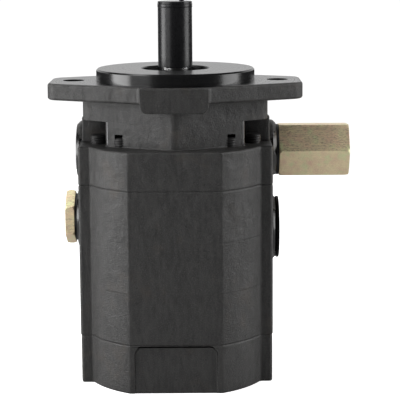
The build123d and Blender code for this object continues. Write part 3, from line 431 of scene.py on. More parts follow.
def machined_iron():
    """Turned iron of the pilot and the mounting face, still dark with oil."""
    settings = casting_settings()
    material, tree, shader = start_material("black_casting_machined")
    place = object_place(tree)
    marks = turned_marks(tree, place, FACE_MARK_WIDTH)
    patch = noise(tree, place, FACE_OIL_SIZE, detail=4.0)
    light = tuple(settings.machined)
    dark = times(light, 0.55)
    lined = blended(tree, remap(tree, marks, 0.35, 0.65, 0.0, 1.0), dark, light)
    oiled = blended(tree, remap(tree, patch, 0.55, 0.75, 0.0, 0.6), lined, dark)
    # Painted shade: a thin dark ring on the mounting face where it meets the pilot's foot.
    outside = remap(tree, distance_from_shaft(tree, place), PILOT_RADIUS + FOOT_LINE_WIDTH,
                    PILOT_RADIUS + FOOT_LINE_BLUR * FOOT_LINE_WIDTH, 1.0, 0.0)
    low = remap(tree, height_above(tree, place), FOOT_LINE_LOW, FOOT_LINE_HIGH, 1.0, 0.0)
    foot = combined(tree, "MULTIPLY", outside, low)
    painted_foot_shade = blended(tree, foot, oiled, times(light, 0.1))
    tree.links.new(painted_foot_shade, shader.inputs["Base Color"])
    tree.links.new(remap(tree, marks, 0.3, 0.7, 0.22, 0.34), shader.inputs["Roughness"])
    tree.links.new(bumped(tree, marks, FACE_MARK_HEIGHT), shader.inputs["Normal"])
    shader.inputs["Metallic"].default_value = 0.9
    return material


def turned_iron():
    """Dark turned iron of the pilot's side and the bores, with fine rings round it; its near-black colour
    is partly the blackened finish and partly painted shade in the bores and holes.
    """
    material, tree, shader = start_material("black_casting_turned")
    place = object_place(tree)
    marks = turned_marks(tree, place, SIDE_MARK_WIDTH)
    patch = noise(tree, place, SIDE_OIL_SIZE, detail=4.0)
    dark = tuple(casting_settings().turned)
    faint = times(dark, 0.6)
    lined = blended(tree, remap(tree, marks, 0.35, 0.65, 0.0, 1.0), faint, dark)
    oiled = blended(tree, remap(tree, patch, 0.5, 0.75, 0.0, 0.5), lined, faint)
    tree.links.new(oiled, shader.inputs["Base Color"])
    tree.links.new(remap(tree, marks, 0.3, 0.7, 0.18, 0.24), shader.inputs["Roughness"])
    tree.links.new(bumped(tree, marks, FINE_MARK_HEIGHT), shader.inputs["Normal"])
    shader.inputs["Specular IOR Level"].default_value = 0.45
    return material


def yellow_zinc():
    """Yellow passivated zinc over drawn hexagon bar, with lines and specks on its upper sides; its
    downward facets are kept lighter as painted light from below.
    """
    settings = hardware_settings()
    material, tree, shader = start_material("yellow_zinc_plate")
    place = object_place(tree)
    drawn = noise(tree, stretched(tree, place, DRAWN_LINE_STRETCH), DRAWN_LINE_SIZE, detail=4.0)
    patch = noise(tree, place, BLUSH_SIZE, detail=4.0, roughness=0.55)
    green_patch = noise(tree, place, GREEN_SIZE, detail=3.0, roughness=0.5)
    mottle = noise(tree, place, MOTTLE_SIZE, detail=3.0)
    speck = noise(tree, stretched(tree, place, SPECK_STRETCH), SPECK_SIZE, detail=5.0, roughness=0.75)

    zinc = tuple(settings.zinc)
    shade = times(zinc, 0.75)
    # Painted light: lines and specks fade on downward facets, so these come out lighter and stand in for
    # light reflected from the floor.
    painted_underside_light_mask = remap(tree, upward_slope(tree), -0.3, 0.3, 0.15, 1.0)
    lines_seen = combined(tree, "MULTIPLY", painted_underside_light_mask, remap(tree, drawn, 0.35, 0.65, 1.0, 0.0))
    lined = blended(tree, lines_seen, zinc, shade)
    tinted = blended(tree, remap(tree, patch, 0.45, 0.70, 0.0, 0.8), lined, tuple(settings.zinc_blush))
    greened = blended(tree, remap(tree, green_patch, 0.50, 0.70, 0.0, 0.8), tinted,
                      tuple(settings.zinc_green))
    mottled = blended(tree, remap(tree, mottle, 0.55, 0.75, 0.0, 0.35), greened, shade)
    specks_seen = combined(tree, "MULTIPLY", painted_underside_light_mask, remap(tree, speck, 0.50, 0.62, 0.0, 0.60))
    specked = blended(tree, specks_seen, mottled, tuple(settings.zinc_speck))
    tree.links.new(specked, shader.inputs["Base Color"])
    tree.links.new(remap(tree, patch, 0.3, 0.7, 0.30, 0.42), shader.inputs["Roughness"])
    lines = bumped(tree, drawn, DRAWN_LINE_HEIGHT)
    tree.links.new(bumped(tree, speck, SPECK_HEIGHT, below=lines), shader.inputs["Normal"])
    shader.inputs["Metallic"].default_value = 0.85
    return material


def black_plastic():
    """Glossy moulded plastic with a few faint scuffs."""
    material, tree, shader = start_material("black_plastic_moulded")
    place = object_place(tree)
    scuffs = noise(tree, stretched(tree, place, SCUFF_STRETCH), SCUFF_SIZE, detail=5.0, roughness=0.7)
    waves = noise(tree, place, WAVE_SIZE, detail=2.0)
    scuffed = remap(tree, scuffs, 0.66, 0.74, 0.0, 1.0)
    tree.links.new(blended(tree, scuffed, (0.010, 0.010, 0.011), (0.05, 0.05, 0.05)),
                   shader.inputs["Base Color"])
    tree.links.new(remap(tree, scuffs, 0.45, 0.75, 0.27, 0.36), shader.inputs["Roughness"])
    tree.links.new(bumped(tree, waves, WAVE_HEIGHT), shader.inputs["Normal"])
    shader.inputs["Specular IOR Level"].default_value = 0.30
    return material


def dull_black_plastic():
    """Soft dull plastic of the cap in the inlet port."""
    material, tree, shader = start_material("black_plastic_dull")
    place = object_place(tree)
    bloom = noise(tree, place, PLASTIC_BLOOM_SIZE, detail=4.0)
    tree.links.new(blended(tree, bloom, (0.003, 0.003, 0.003), (0.008, 0.008, 0.008)),
                   shader.inputs["Base Color"])
    tree.links.new(remap(tree, bloom, 0.3, 0.7, 0.45, 0.60), shader.inputs["Roughness"])
    tree.links.new(bumped(tree, bloom, PLASTIC_BLOOM_HEIGHT), shader.inputs["Normal"])
    shader.inputs["Specular IOR Level"].default_value = 0.12
    return material


def black_rubber():
    """Matt black rubber."""
    material, tree, shader = start_material("black_rubber_moulded")
    place = object_place(tree)
    bloom = noise(tree, place, RUBBER_BLOOM_SIZE, detail=4.0)
    tree.links.new(blended(tree, bloom, (0.006, 0.006, 0.006), (0.016, 0.015, 0.015)),
                   shader.inputs["Base Color"])
    tree.links.new(remap(tree, bloom, 0.3, 0.7, 0.5, 0.7), shader.inputs["Roughness"])
    tree.links.new(bumped(tree, bloom, RUBBER_BLOOM_HEIGHT), shader.inputs["Normal"])
    return material


def bare_metal(name, light, dark, low_roughness, high_roughness, mark_width):
    """Bare metal with fine tool marks round the shaft's axis."""
    material, tree, shader = start_material(name)
    place = object_place(tree)
    marks = turned_marks(tree, place, mark_width)
    tree.links.new(blended(tree, remap(tree, marks, 0.35, 0.65, 0.0, 1.0), dark, light),
                   shader.inputs["Base Color"])
    tree.links.new(remap(tree, marks, 0.3, 0.7, low_roughness, high_roughness),
                   shader.inputs["Roughness"])
    tree.links.new(bumped(tree, marks, FINE_MARK_HEIGHT), shader.inputs["Normal"])
    shader.inputs["Metallic"].default_value = 1.0
    return material


def ground_steel():
    """Bright ground steel of the shafts, keys and dowels."""
    return bare_metal("ground_steel_bar", (0.60, 0.60, 0.60), (0.46, 0.46, 0.46), 0.16, 0.26,
                      0.2 * MILLIMETRE)


def gear_steel():
    """Hardened steel of the gears and the valves."""
    return bare_metal("gear_steel_hardened", (0.42, 0.41, 0.40), (0.30, 0.295, 0.29), 0.25, 0.38,
                      0.4 * MILLIMETRE)


def spring_steel():
    """Oiled spring wire."""
    return bare_metal("spring_steel_wire", (0.34, 0.33, 0.32), (0.20, 0.195, 0.19), 0.28, 0.42,
                      0.3 * MILLIMETRE)


def bearing_bronze():
    """Machined bronze of the bushings and the wear plates."""
    return bare_metal("bearing_bronze_bush", (0.66, 0.45, 0.22), (0.48, 0.31, 0.14), 0.28, 0.42,
                      0.3 * MILLIMETRE)


def black_oxide_steel():
    """Blackened steel of the bolts and the snap ring."""
    material, tree, shader = start_material("black_oxide_steel_bolt")
    place = object_place(tree)
    patch = noise(tree, place, OXIDE_PATCH_SIZE, detail=5.0)
    tree.links.new(blended(tree, patch, (0.008, 0.008, 0.009), (0.022, 0.021, 0.020)),
                   shader.inputs["Base Color"])
    tree.links.new(remap(tree, patch, 0.3, 0.7, 0.38, 0.55), shader.inputs["Roughness"])
    tree.links.new(bumped(tree, patch, OXIDE_PATCH_HEIGHT), shader.inputs["Normal"])
    shader.inputs["Specular IOR Level"].default_value = 0.35
    return material


FINISH_MAKERS = {
    "black_casting": black_casting,
    "machined": machined_iron,
    "turned": turned_iron,
    "yellow_zinc": yellow_zinc,
    "black_plastic": black_plastic,
    "dull_black_plastic": dull_black_plastic,
    "black_rubber": black_rubber,
    "ground_steel": ground_steel,
    "gear_steel": gear_steel,
    "spring_steel": spring_steel,
    "bearing_bronze": bearing_bronze,
    "black_oxide_steel": black_oxide_steel,
}
made_finishes = {}


def finish(name):
    """Material of a finish, made once."""
    if name not in made_finishes:
        made_finishes[name] = FINISH_MAKERS[name]()
    return made_finishes[name]


# Mesh building blocks

WELD_DISTANCE = 0.002 * MILLIMETRE
FLAT_ANGLE = math.radians(0.6)
SHARP_ANGLE = math.radians(28)
SMOOTH_ANGLE = math.radians(30)
THREAD_SMOOTH_ANGLE = math.radians(50)
SLIVER_LENGTH = 0.1 * MILLIMETRE
STRAY_SHARE = 0.6
FLAT_FACE_WEIGHT = 60
THREAD_FOOT_SHARE = 0.40
THREAD_TIP_SHARE = 0.08


def new_piece(bm, name, body, finishes, smooth_angle=SMOOTH_ANGLE):
    """Object made of a bmesh, riding on a body if one is named, with its finishes in order."""
    mesh = bpy.data.meshes.new(name)
    for face in bm.faces:
        face.smooth = True
    bm.to_mesh(mesh)
    bm.free()
    if "custom_normal" in mesh.attributes:
        mesh.attributes.remove(mesh.attributes["custom_normal"])
    mesh.set_sharp_from_angle(angle=smooth_angle)
    for label in finishes:
        mesh.materials.append(finish(label))
    piece = bpy.data.objects.new(name, mesh)
    bpy.context.scene.collection.objects.link(piece)
    if body:
        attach(piece, body)
    return piece


def beside_sliver(edge):
    """Whether a tiny edge meets this one, so that rounding it would push a thin fin out."""
    meeting = {other for vert in edge.verts for other in vert.link_edges}
    return any(other.calc_length() < SLIVER_LENGTH for other in meeting)


def welded_copy(node):
    """Bmesh of a CAD node with its triangles joined."""
    bm = bmesh.new()
    bm.from_mesh(frame["nodes"][node].data)
    bmesh.ops.remove_doubles(bm, verts=bm.verts, dist=WELD_DISTANCE)
    return bm


def merged_copy(node):
    """Bmesh of a CAD node with its triangles joined and its flat faces whole."""
    bm = welded_copy(node)
    bmesh.ops.dissolve_limit(bm, angle_limit=FLAT_ANGLE, verts=bm.verts, edges=bm.edges,
                             use_dissolve_boundaries=False)
    return bm


def sharp_edges(bm):
    """Edges where two faces meet at a clear angle."""
    return [e for e in bm.edges if len(e.link_faces) == 2 and e.calc_face_angle(0.0) > SHARP_ANGLE]


def soften(bm, edges, width, segments=2):
    """Rounds edges by a width, and draws back a corner that the rounding would push out."""
    if not edges or width <= 0:
        return
    before = BVHTree.FromBMesh(bm)
    bmesh.ops.bevel(bm, geom=edges, offset=width, offset_type="OFFSET", affect="EDGES",
                    segments=segments, profile=0.5, clamp_overlap=False, material=-1)
    for vert in bm.verts:
        nearest, _, _, distance = before.find_nearest(vert.co)
        if distance > STRAY_SHARE * width:
            vert.co = nearest


def weigh_normals(piece):
    """Keeps broad flat faces flat beside their rounded edges."""
    modifier = piece.modifiers.new("flat_faces", "WEIGHTED_NORMAL")
    modifier.keep_sharp = True
    modifier.weight = FLAT_FACE_WEIGHT


def dress_node(node, body, slot, width, segments=2, look=None):
    """Makes the piece that stands for a CAD node: its shape with softened edges and a finish."""
    bm = merged_copy(node)
    soften(bm, sharp_edges(bm), width, segments)
    piece = new_piece(bm, f"{node}_dressed", body, [look or slot])
    weigh_normals(piece)
    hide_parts(node)


def island_boxes(node):
    """Lowest and highest corner of each loose solid of a node, in the order of its vertices."""
    bm = welded_copy(node)
    seen = set()
    boxes = []
    for first in bm.verts:
        if first in seen:
            continue
        seen.add(first)
        island = [first]
        for vert in island:
            for edge in vert.link_edges:
                other = edge.other_vert(vert)
                if other not in seen:
                    seen.add(other)
                    island.append(other)
        low = Vector(min(v.co[i] for v in island) for i in range(3))
        high = Vector(max(v.co[i] for v in island) for i in range(3))
        boxes.append((low, high))
    bm.free()
    return boxes


def thread_ridge(bm, core, crest, pitch, turns, steps):
    """Helical ridge round the Z axis, from a core radius to a crest radius."""
    foot = THREAD_FOOT_SHARE * pitch
    tip = THREAD_TIP_SHARE * pitch
    profile = [(core, -foot), (crest, -tip), (crest, tip), (core, foot)]
    verts = [bm.verts.new(Vector((r, 0.0, z))) for r, z in profile]
    edges = [bm.edges.new(pair) for pair in zip(verts, verts[1:])]
    bmesh.ops.spin(
        bm, geom=verts + edges, cent=(0, 0, 0), axis=(0, 0, 1), dvec=(0, 0, pitch / steps),
        angle=2 * math.pi * turns, steps=turns * steps, use_merge=False, use_duplicate=False)


def close_ends(bm):
    """Caps open profile ends and turns the faces outwards."""
    bmesh.ops.holes_fill(bm, edges=[e for e in bm.edges if e.is_boundary], sides=4)
    bmesh.ops.recalc_face_normals(bm, faces=bm.faces)


# Which faces of a casting a machine has cut

LEVEL_SLOPE = 0.9
FLAT_SLOPE = 0.99
WALL_SLOPE = 0.5
FLANGE_FOOT_Z = -9.0 * MILLIMETRE
SEAL_BORE_MARGIN = 1.0 * MILLIMETRE
PORT_INNER_X = 0.4 * BOSS_FACE_X
HOLE_REACH = 8 * MILLIMETRE
BORED_PORTS = (
    (OUTLET_Z, 11.5 * MILLIMETRE),
    (INLET_Z, 13.9 * MILLIMETRE),
    (PLUG_Z, 10.5 * MILLIMETRE),
)


def is_level(face, z):
    """Whether a face lies flat at a height."""
    return abs(face.normal.z) > FLAT_SLOPE and abs(face.calc_center_median().z - z) < TOLERANCE


def distance_from_axis(point, y):
    """Distance of a point from an upright axis in the middle plane."""
    return math.hypot(point.x, point.y - y)


def in_port(face, z, radius):
    """Whether a face lies wholly inside a radius of a port's axis."""
    return all(math.hypot(vert.co.y - PORT_Y, vert.co.z - z) < radius for vert in face.verts)


def is_machined(face):
    """Whether a face of a casting is turned, milled or bored."""
    point = face.calc_center_median()
    if any(is_level(face, z) for z in (MOUNTING_FACE_Z, PILOT_TOP_Z, FRONT_SEAM_Z, REAR_SEAM_Z)):
        return True
    if point.z > MOUNTING_FACE_Z - TOLERANCE:
        return True
    in_seal_bore = distance_from_axis(point, 0.0) < SEAL_HIGH.x + SEAL_BORE_MARGIN
    if in_seal_bore and point.z > SEAL_LOW.z - SEAL_BORE_MARGIN:
        return True
    from_shafts = min(distance_from_axis(point, y) for y in (0.0, DRIVEN_Y))
    in_gear_pocket = from_shafts < PLATE_HIGH.x
    if in_gear_pocket and point.z < PLATE_LOW.z:
        return True
    if abs(point.x) > BOSS_FACE_X - TOLERANCE and point.z < FLANGE_FOOT_Z:
        return True
    if abs(point.x) < PORT_INNER_X:
        return False
    return any(in_port(face, z, radius) for z, radius in BORED_PORTS)


def is_hole_wall(face, places):
    """Whether a face is the wall of one of some upright holes."""
    if abs(face.normal.z) > WALL_SLOPE:
        return False
    for x, y in places:
        if all(math.hypot(vert.co.x - x, vert.co.y - y) < HOLE_REACH for vert in face.verts):
            return True
    return False


def rough_edges(bm, cut):
    """Sharp edges between cast faces, without those that rounding would tear."""
    return [e for e in sharp_edges(bm)
            if not any(f.index in cut for f in e.link_faces) and not beside_sliver(e)]


# Pieces of the pump

CASTINGS = ("front_housing", "centre_housing", "rear_cover")
CASTING_FINISHES = ["black_casting", "machined", "turned"]
MACHINED_INDEX = CASTING_FINISHES.index("machined")
TURNED_INDEX = CASTING_FINISHES.index("turned")


class PUMP_OT_castings(bpy.types.Operator):
    """Give the three castings rounded cast edges and machined faces"""

    bl_idname = "pump.castings"
    bl_label = "Castings"

    def execute(self, context):
        settings = casting_settings()
        bolts = [((low.x + high.x) / 2, (low.y + high.y) / 2)
                 for low, high in island_boxes("tie_bolts")]
        drilled = bolts + [(FLANGE_HOLE_SPACING / 2, 0.0), (-FLANGE_HOLE_SPACING / 2, 0.0)]
        for node in CASTINGS:
            bm = merged_copy(node)
            cut = {f.index for f in bm.faces if is_machined(f) or is_hole_wall(f, drilled)}
            rough = rough_edges(bm, cut)
            for face in bm.faces:
                if face.index in cut:
                    # Level cut faces take the lighter machined colour; upright cut faces and hole walls
                    # take the near-black turned colour, partly painted shade in the bores and holes.
                    is_end = abs(face.normal.z) > LEVEL_SLOPE
                    face.material_index = MACHINED_INDEX if is_end else TURNED_INDEX
            soften(bm, rough, settings.cast_edge, 3)
            piece = new_piece(bm, f"{node}_dressed", "pump_body", CASTING_FINISHES)
            weigh_normals(piece)
            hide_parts(node)
        return {"FINISHED"}


class PUMP_OT_inner_pieces(bpy.types.Operator):
    """Give every inner piece the finish of its own material"""

    bl_idname = "pump.inner_pieces"
    bl_label = "Inner pieces"

    def execute(self, context):
        for node in frame["nodes"].values():
            for slot in node.material_slots:
                label = slot.material.name.split(".")[0]
                if label in FINISH_MAKERS:
                    slot.material = finish(label)
        return {"FINISHED"}


class PUMP_OT_springs(bpy.types.Operator):
    """Dress both valve springs in spring steel"""

    bl_idname = "pump.springs"
    bl_label = "Valve springs"

    def execute(self, context):
        low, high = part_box("check_spring")
        self.add_spring("check_spring", "check_valve", low.x, high.x, OUTLET_Z)
        low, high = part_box("unloading_spring")
        self.add_spring("unloading_spring", "unloading_valve", high.x, low.x, PLUG_Z)
        return {"FINISHED"}

    def add_spring(self, node, valve, valve_end, seat_end, z):
        """Dressed copy of a coil, fixed where the CAD node stands."""
        piece = new_piece(merged_copy(node), f"{node}_dressed", None, ["spring_steel"])
        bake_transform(piece)
        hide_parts(node)


SLEEVE_EDGE = 0.25 * MILLIMETRE


class PUMP_OT_sleeve(bpy.types.Operator):
    """Dress the plastic sleeve over the shaft's end"""

    bl_idname = "pump.sleeve"
    bl_label = "Shaft sleeve"

    def execute(self, context):
        dress_node("shaft_sleeve", "sleeve", "black_plastic", SLEEVE_EDGE, 3)
        return {"FINISHED"}


OUTLET_THREAD_TURNS = 7
OUTLET_THREAD_START = 1.5 * MILLIMETRE
OUTLET_THREAD_SINK = 0.05 * MILLIMETRE


class PUMP_OT_fittings(bpy.types.Operator):
    """Dress the outlet adapter with its inside thread, and the valve plug"""

    bl_idname = "pump.fittings"
    bl_label = "Adapter and plug"

    def execute(self, context):
        settings = hardware_settings()
        dress_node("outlet_adapter", "pump_body", "yellow_zinc", settings.fitting_edge, 3)
        dress_node("valve_plug", "pump_body", "yellow_zinc", settings.fitting_edge, 3)
        bm = bmesh.new()
        length = OUTLET_THREAD_TURNS * settings.outlet_pitch
        thread_ridge(bm, OUTLET_RADIUS + OUTLET_THREAD_SINK, OUTLET_RADIUS - settings.outlet_thread_depth,
                     settings.outlet_pitch, OUTLET_THREAD_TURNS, settings.thread_steps)
        start = Vector((ADAPTER_HIGH.x - OUTLET_THREAD_START - length, PORT_Y, OUTLET_Z))
        turn = Matrix.Rotation(math.radians(90), 4, "Y")
        bmesh.ops.transform(bm, matrix=Matrix.Translation(start) @ turn, verts=bm.verts)
        close_ends(bm)
        new_piece(bm, "outlet_thread_ridge", "pump_body", ["yellow_zinc"],
                  THREAD_SMOOTH_ANGLE)
        return {"FINISHED"}


BOLT_EDGE = 0.12 * MILLIMETRE
BOLT_THREAD_CORE = 3.95 * MILLIMETRE
BOLT_THREAD_TURNS = 3
BOLT_BARE_TURNS = 0.8


class PUMP_OT_bolts(bpy.types.Operator):
    """Dress the tie bolts and cut the threads that show at their ends"""

    bl_idname = "pump.bolts"
    bl_label = "Tie bolts"

    def execute(self, context):
        settings = hardware_settings()
        dress_node("tie_bolts", "pump_body", "black_oxide_steel", BOLT_EDGE, 2)
        crest = BOLT_THREAD_CORE + settings.bolt_thread_depth
        length = (BOLT_THREAD_TURNS + BOLT_BARE_TURNS) * settings.bolt_pitch
        shown = bmesh.new()
        for low, high in island_boxes("tie_bolts"):
            one = bmesh.new()
            thread_ridge(one, BOLT_THREAD_CORE, crest, settings.bolt_pitch, BOLT_THREAD_TURNS,
                         settings.thread_steps)
            place = Vector(((low.x + high.x) / 2, (low.y + high.y) / 2, high.z - length))
            bmesh.ops.translate(one, vec=place, verts=one.verts)
            close_ends(one)
            mesh = bpy.data.meshes.new("thread_turns")
            one.to_mesh(mesh)
            one.free()
            shown.from_mesh(mesh)
            bpy.data.meshes.remove(mesh)
        new_piece(shown, "bolt_end_threads", "pump_body", ["black_oxide_steel"],
                  THREAD_SMOOTH_ANGLE)
        return {"FINISHED"}


CAP_EDGE = 0.2 * MILLIMETRE
SEAL_EDGE = 0.15 * MILLIMETRE
RING_EDGE = 0.1 * MILLIMETRE


class PUMP_OT_caps_and_rings(bpy.types.Operator):
    """Dress the inlet cap, the shaft seal and its retaining ring"""

    bl_idname = "pump.caps_and_rings"
    bl_label = "Caps and rings"

    def execute(self, context):
        dress_node("inlet_cap", "cap", "black_plastic", CAP_EDGE, 2, "dull_black_plastic")
        dress_node("shaft_seal", "pump_body", "black_rubber", SEAL_EDGE, 2)
        dress_node("seal_retaining_ring", "pump_body", "black_oxide_steel", RING_EDGE, 2)
        return {"FINISHED"}


def flattened_rod(bm, start, end, across, width, height):
    """Low rounded ridge between two points, widened along one direction."""
    along = (end - start).normalized()
    out = along.cross(across).normalized()
    turn = Matrix((across.normalized(), out, along)).transposed().to_4x4()
    size = Matrix.Diagonal((width / 2, height, 1.0, 1.0))
    bmesh.ops.create_cone(bm, cap_ends=True, segments=10, radius1=1.0, radius2=1.0,
                          depth=(end - start).length,
                          matrix=Matrix.Translation((start + end) / 2) @ turn @ size)


def cast_block(bm, low, high, width):
    """Block between two corners with rounded edges."""
    size = high - low
    made = bmesh.ops.create_cube(bm, size=1.0, matrix=Matrix.Translation((low + high) / 2)
                                 @ Matrix.Diagonal((*size, 1.0)))
    edges = list(dict.fromkeys(e for v in made["verts"] for e in v.link_edges))
    soften(bm, edges, width, 3)


def cast_swelling(bm, centre, radii):
    """Soft low swelling on a wall, half sunk in it."""
    size = Matrix.Diagonal((*radii, 1.0))
    bmesh.ops.create_uvsphere(bm, u_segments=32, v_segments=20, radius=1.0,
                              matrix=Matrix.Translation(centre) @ size)


RELIEF_INNER_X = 35.0 * MILLIMETRE
RELIEF_OUTER_X = 49.0 * MILLIMETRE
RELIEF_WALL_Y = -3.5 * MILLIMETRE
RELIEF_WALL_THICKNESS = 7.0 * MILLIMETRE
RELIEF_FLOOR_Z = -32.2 * MILLIMETRE
RELIEF_ROOF_Z = -18.9 * MILLIMETRE
RELIEF_EDGE = 0.6 * MILLIMETRE
SWELLING_SINK = 0.2 * MILLIMETRE
SWELLING_Y = -12 * MILLIMETRE
SWELLING_ABOVE_SEAM = 11 * MILLIMETRE
SWELLING_RADII = Vector((1.1, 7.0, 9.5)) * MILLIMETRE


class PUMP_OT_relief_walls(bpy.types.Operator):
    """Fill the backs of the two front reliefs and add the swelling on the left pad"""

    bl_idname = "pump.relief_walls"
    bl_label = "Relief walls"

    def execute(self, context):
        bm = bmesh.new()
        for side in (-1, 1):
            near, far = sorted((side * RELIEF_INNER_X, side * RELIEF_OUTER_X))
            low = Vector((near, RELIEF_WALL_Y, RELIEF_FLOOR_Z))
            high = Vector((far, RELIEF_WALL_Y + RELIEF_WALL_THICKNESS, RELIEF_ROOF_Z))
            cast_block(bm, low, high, RELIEF_EDGE)
        centre = Vector((COVER_LOW.x + SWELLING_SINK, SWELLING_Y, REAR_SEAM_Z + SWELLING_ABOVE_SEAM))
        cast_swelling(bm, centre, SWELLING_RADII)
        bmesh.ops.recalc_face_normals(bm, faces=bm.faces)
        new_piece(bm, "relief_walls", "pump_body", ["black_casting"])
        return {"FINISHED"}


MOULD_LINE_X = -0.8 * MILLIMETRE
MOULD_LINE_TOP_Z = -1.2 * MILLIMETRE
MOULD_LINE_FOOT_Z = -12.6 * MILLIMETRE
MOULD_LINE_WIDTH = 0.5 * MILLIMETRE
MOULD_LINE_HEIGHT = 0.12 * MILLIMETRE


class PUMP_OT_casting_marks(bpy.types.Operator):
    """Add the mould line down the front block"""

    bl_idname = "pump.casting_marks"
    bl_label = "Casting marks"

    def execute(self, context):
        bm = bmesh.new()
        top = Vector((MOULD_LINE_X, HOUSING_LOW.y, MOULD_LINE_TOP_Z))
        foot = Vector((MOULD_LINE_X, HOUSING_LOW.y, MOULD_LINE_FOOT_Z))
        flattened_rod(bm, top, foot, Vector((1, 0, 0)), MOULD_LINE_WIDTH, MOULD_LINE_HEIGHT)
        bmesh.ops.recalc_face_normals(bm, faces=bm.faces)
        new_piece(bm, "mould_line", "pump_body", ["black_casting"])
        return {"FINISHED"}


# Stage

SENSOR_WIDTH = 36.0
CLIP_NEAR = 0.01
CLIP_FAR = 50.0
WHITE = (1.0, 1.0, 1.0, 1.0)
FLOOR_GAP = 0.1 * MILLIMETRE
LIGHT_TARGET = (0.0, 0.018, -0.06)

# Each light's name, place, width and height in metres, and power in watts
LIGHTS = (
    ("left_panel", (-0.85, -0.10, -0.05), 0.5, 0.5, 6.5),
    ("left_spot", (-0.40, -0.10, 0.50), 0.4, 0.4, 2),
    ("top_strip", (-0.10, 0.60, 0.95), 1.0, 0.6, 4),
    ("left_front_panel", (-0.70, -0.65, 0.30), 0.5, 0.8, 4),
    ("right_softbox", (0.95, -0.05, 0.25), 0.6, 0.9, 8.5),
    ("back_panel", (0.0, 1.5, 0.5), 2.6, 1.2, 8),
)


def area_light(name, place, width, height, power):
    """Sets a rectangular light at a place, turned to the pump and unseen by the camera."""
    light = bpy.data.lights.new(name, "AREA")
    light.shape = "RECTANGLE"
    light.size = width
    light.size_y = height
    light.energy = power
    lamp = bpy.data.objects.new(name, light)
    bpy.context.scene.collection.objects.link(lamp)
    lamp.location = place
    aim = Vector(LIGHT_TARGET) - Vector(place)
    lamp.rotation_euler = aim.to_track_quat("-Z", "Y").to_euler()
    lamp.visible_camera = False


def set_camera():
    """Sets the camera at the photograph's viewing angle."""
    settings = stage_settings()
    data = bpy.data.cameras.new("camera")
    data.sensor_width = SENSOR_WIDTH
    data.lens = settings.camera_lens
    data.shift_x, data.shift_y = settings.camera_shift
    data.clip_start = CLIP_NEAR
    data.clip_end = CLIP_FAR
    camera = bpy.data.objects.new("camera", data)
    bpy.context.scene.collection.objects.link(camera)
    turn = Matrix.Rotation(math.radians(90) - settings.camera_pitch, 4, "X")
    lean = Matrix.Rotation(settings.camera_roll, 4, "Z")
    camera.matrix_world = Matrix.Translation(settings.camera_place) @ turn @ lean
    bpy.context.scene.camera = camera


def one_for_camera(tree, others, seen):
    """Shader that is one thing to the camera and another to all other rays."""
    ray = tree.nodes.new("ShaderNodeLightPath")
    mix = add_node(tree, "ShaderNodeMixShader", {0: ray.outputs["Is Camera Ray"], 1: others, 2: seen})
    return mix.outputs["Shader"]


def set_backdrop():
    """Sets a white backdrop that lights the pump only a little."""
    settings = stage_settings()
    world = bpy.data.worlds.new("studio")
    world.use_nodes = True
    bpy.context.scene.world = world
    tree = world.node_tree
    tree.nodes.clear()
    seen = add_node(tree, "ShaderNodeBackground", {"Color": WHITE, "Strength": settings.background})
    room = add_node(tree, "ShaderNodeBackground", {"Color": WHITE, "Strength": settings.fill})
    both = one_for_camera(tree, room.outputs["Background"], seen.outputs["Background"])
    add_node(tree, "ShaderNodeOutputWorld", {"Surface": both})


def floor_material():
    """Floor that looks white and throws a greyer light back on the pump."""
    settings = stage_settings()
    material, tree, shader = start_material("pale_floor")
    shader.inputs["Base Color"].default_value = (*settings.floor_colour, 1.0)
    shader.inputs["Roughness"].default_value = 0.9
    shader.inputs["Specular IOR Level"].default_value = 0.1
    shader.inputs["Emission Color"].default_value = WHITE
    shader.inputs["Emission Strength"].default_value = settings.floor_glow
    grey = add_node(tree, "ShaderNodeBsdfDiffuse", {"Color": (*settings.floor_bounce, 1.0)})
    both = one_for_camera(tree, grey.outputs["BSDF"], shader.outputs["BSDF"])
    tree.links.new(both, tree.nodes["Material Output"].inputs["Surface"])
    return material


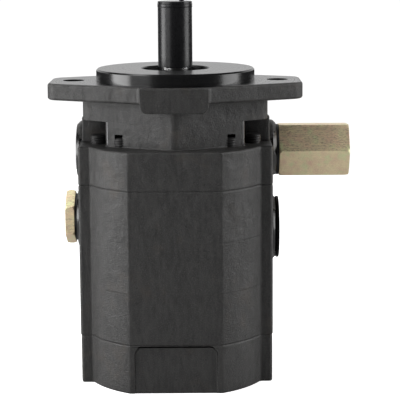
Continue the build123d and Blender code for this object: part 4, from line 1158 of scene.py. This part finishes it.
def lay_floor():
    """Lays a round pale floor under the pump."""
    bm = bmesh.new()
    bmesh.ops.create_circle(bm, cap_ends=True, segments=96, radius=stage_settings().floor_radius,
                            matrix=Matrix.Translation((0, 0, FLOOR_Z - FLOOR_GAP)))
    mesh = bpy.data.meshes.new("floor")
    bm.to_mesh(mesh)
    bm.free()
    mesh.materials.append(floor_material())
    floor = bpy.data.objects.new("floor", mesh)
    bpy.context.scene.collection.objects.link(floor)


class PUMP_OT_stage(bpy.types.Operator):
    """Set the camera, the pale floor and the soft lights"""

    bl_idname = "pump.stage"
    bl_label = "Stage"

    def execute(self, context):
        set_camera()
        set_backdrop()
        lay_floor()
        for name, place, width, height, power in LIGHTS:
            area_light(name, place, width, height, power)
        context.scene.view_settings.view_transform = "Standard"
        return {"FINISHED"}


class PUMP_PT_panel(bpy.types.Panel):
    """Lists the pump's pieces in the order in which they are made"""

    bl_idname = "PUMP_PT_panel"
    bl_label = "Gear pump"
    bl_space_type = "VIEW_3D"
    bl_region_type = "UI"
    bl_category = "Pump"

    def draw(self, context):
        for operator in OPERATORS:
            self.layout.operator(operator.bl_idname)


SETTINGS = {
    "pump_casting": CastingSettings,
    "pump_hardware": HardwareSettings,
    "pump_stage": StageSettings,
}
OPERATORS = (
    PUMP_OT_stage,
    PUMP_OT_inner_pieces,
    PUMP_OT_castings,
    PUMP_OT_springs,
    PUMP_OT_sleeve,
    PUMP_OT_fittings,
    PUMP_OT_bolts,
    PUMP_OT_caps_and_rings,
    PUMP_OT_relief_walls,
    PUMP_OT_casting_marks,
)


def register():
    """Registers the settings, the operators and the panel."""
    for name, group in SETTINGS.items():
        bpy.utils.register_class(group)
        setattr(bpy.types.Scene, name, PointerProperty(type=group))
    for operator in OPERATORS:
        bpy.utils.register_class(operator)
    bpy.utils.register_class(PUMP_PT_panel)


def unregister():
    """Takes the panel, the operators and the settings away."""
    bpy.utils.unregister_class(PUMP_PT_panel)
    for operator in reversed(OPERATORS):
        bpy.utils.unregister_class(operator)
    for name, group in SETTINGS.items():
        delattr(bpy.types.Scene, name)
        bpy.utils.unregister_class(group)


def main():
    """Makes every piece and the stage."""
    register()
    for operator in OPERATORS:
        group, name = operator.bl_idname.split(".")
        getattr(getattr(bpy.ops, group), name)()


if __name__ == "__main__":
    main()
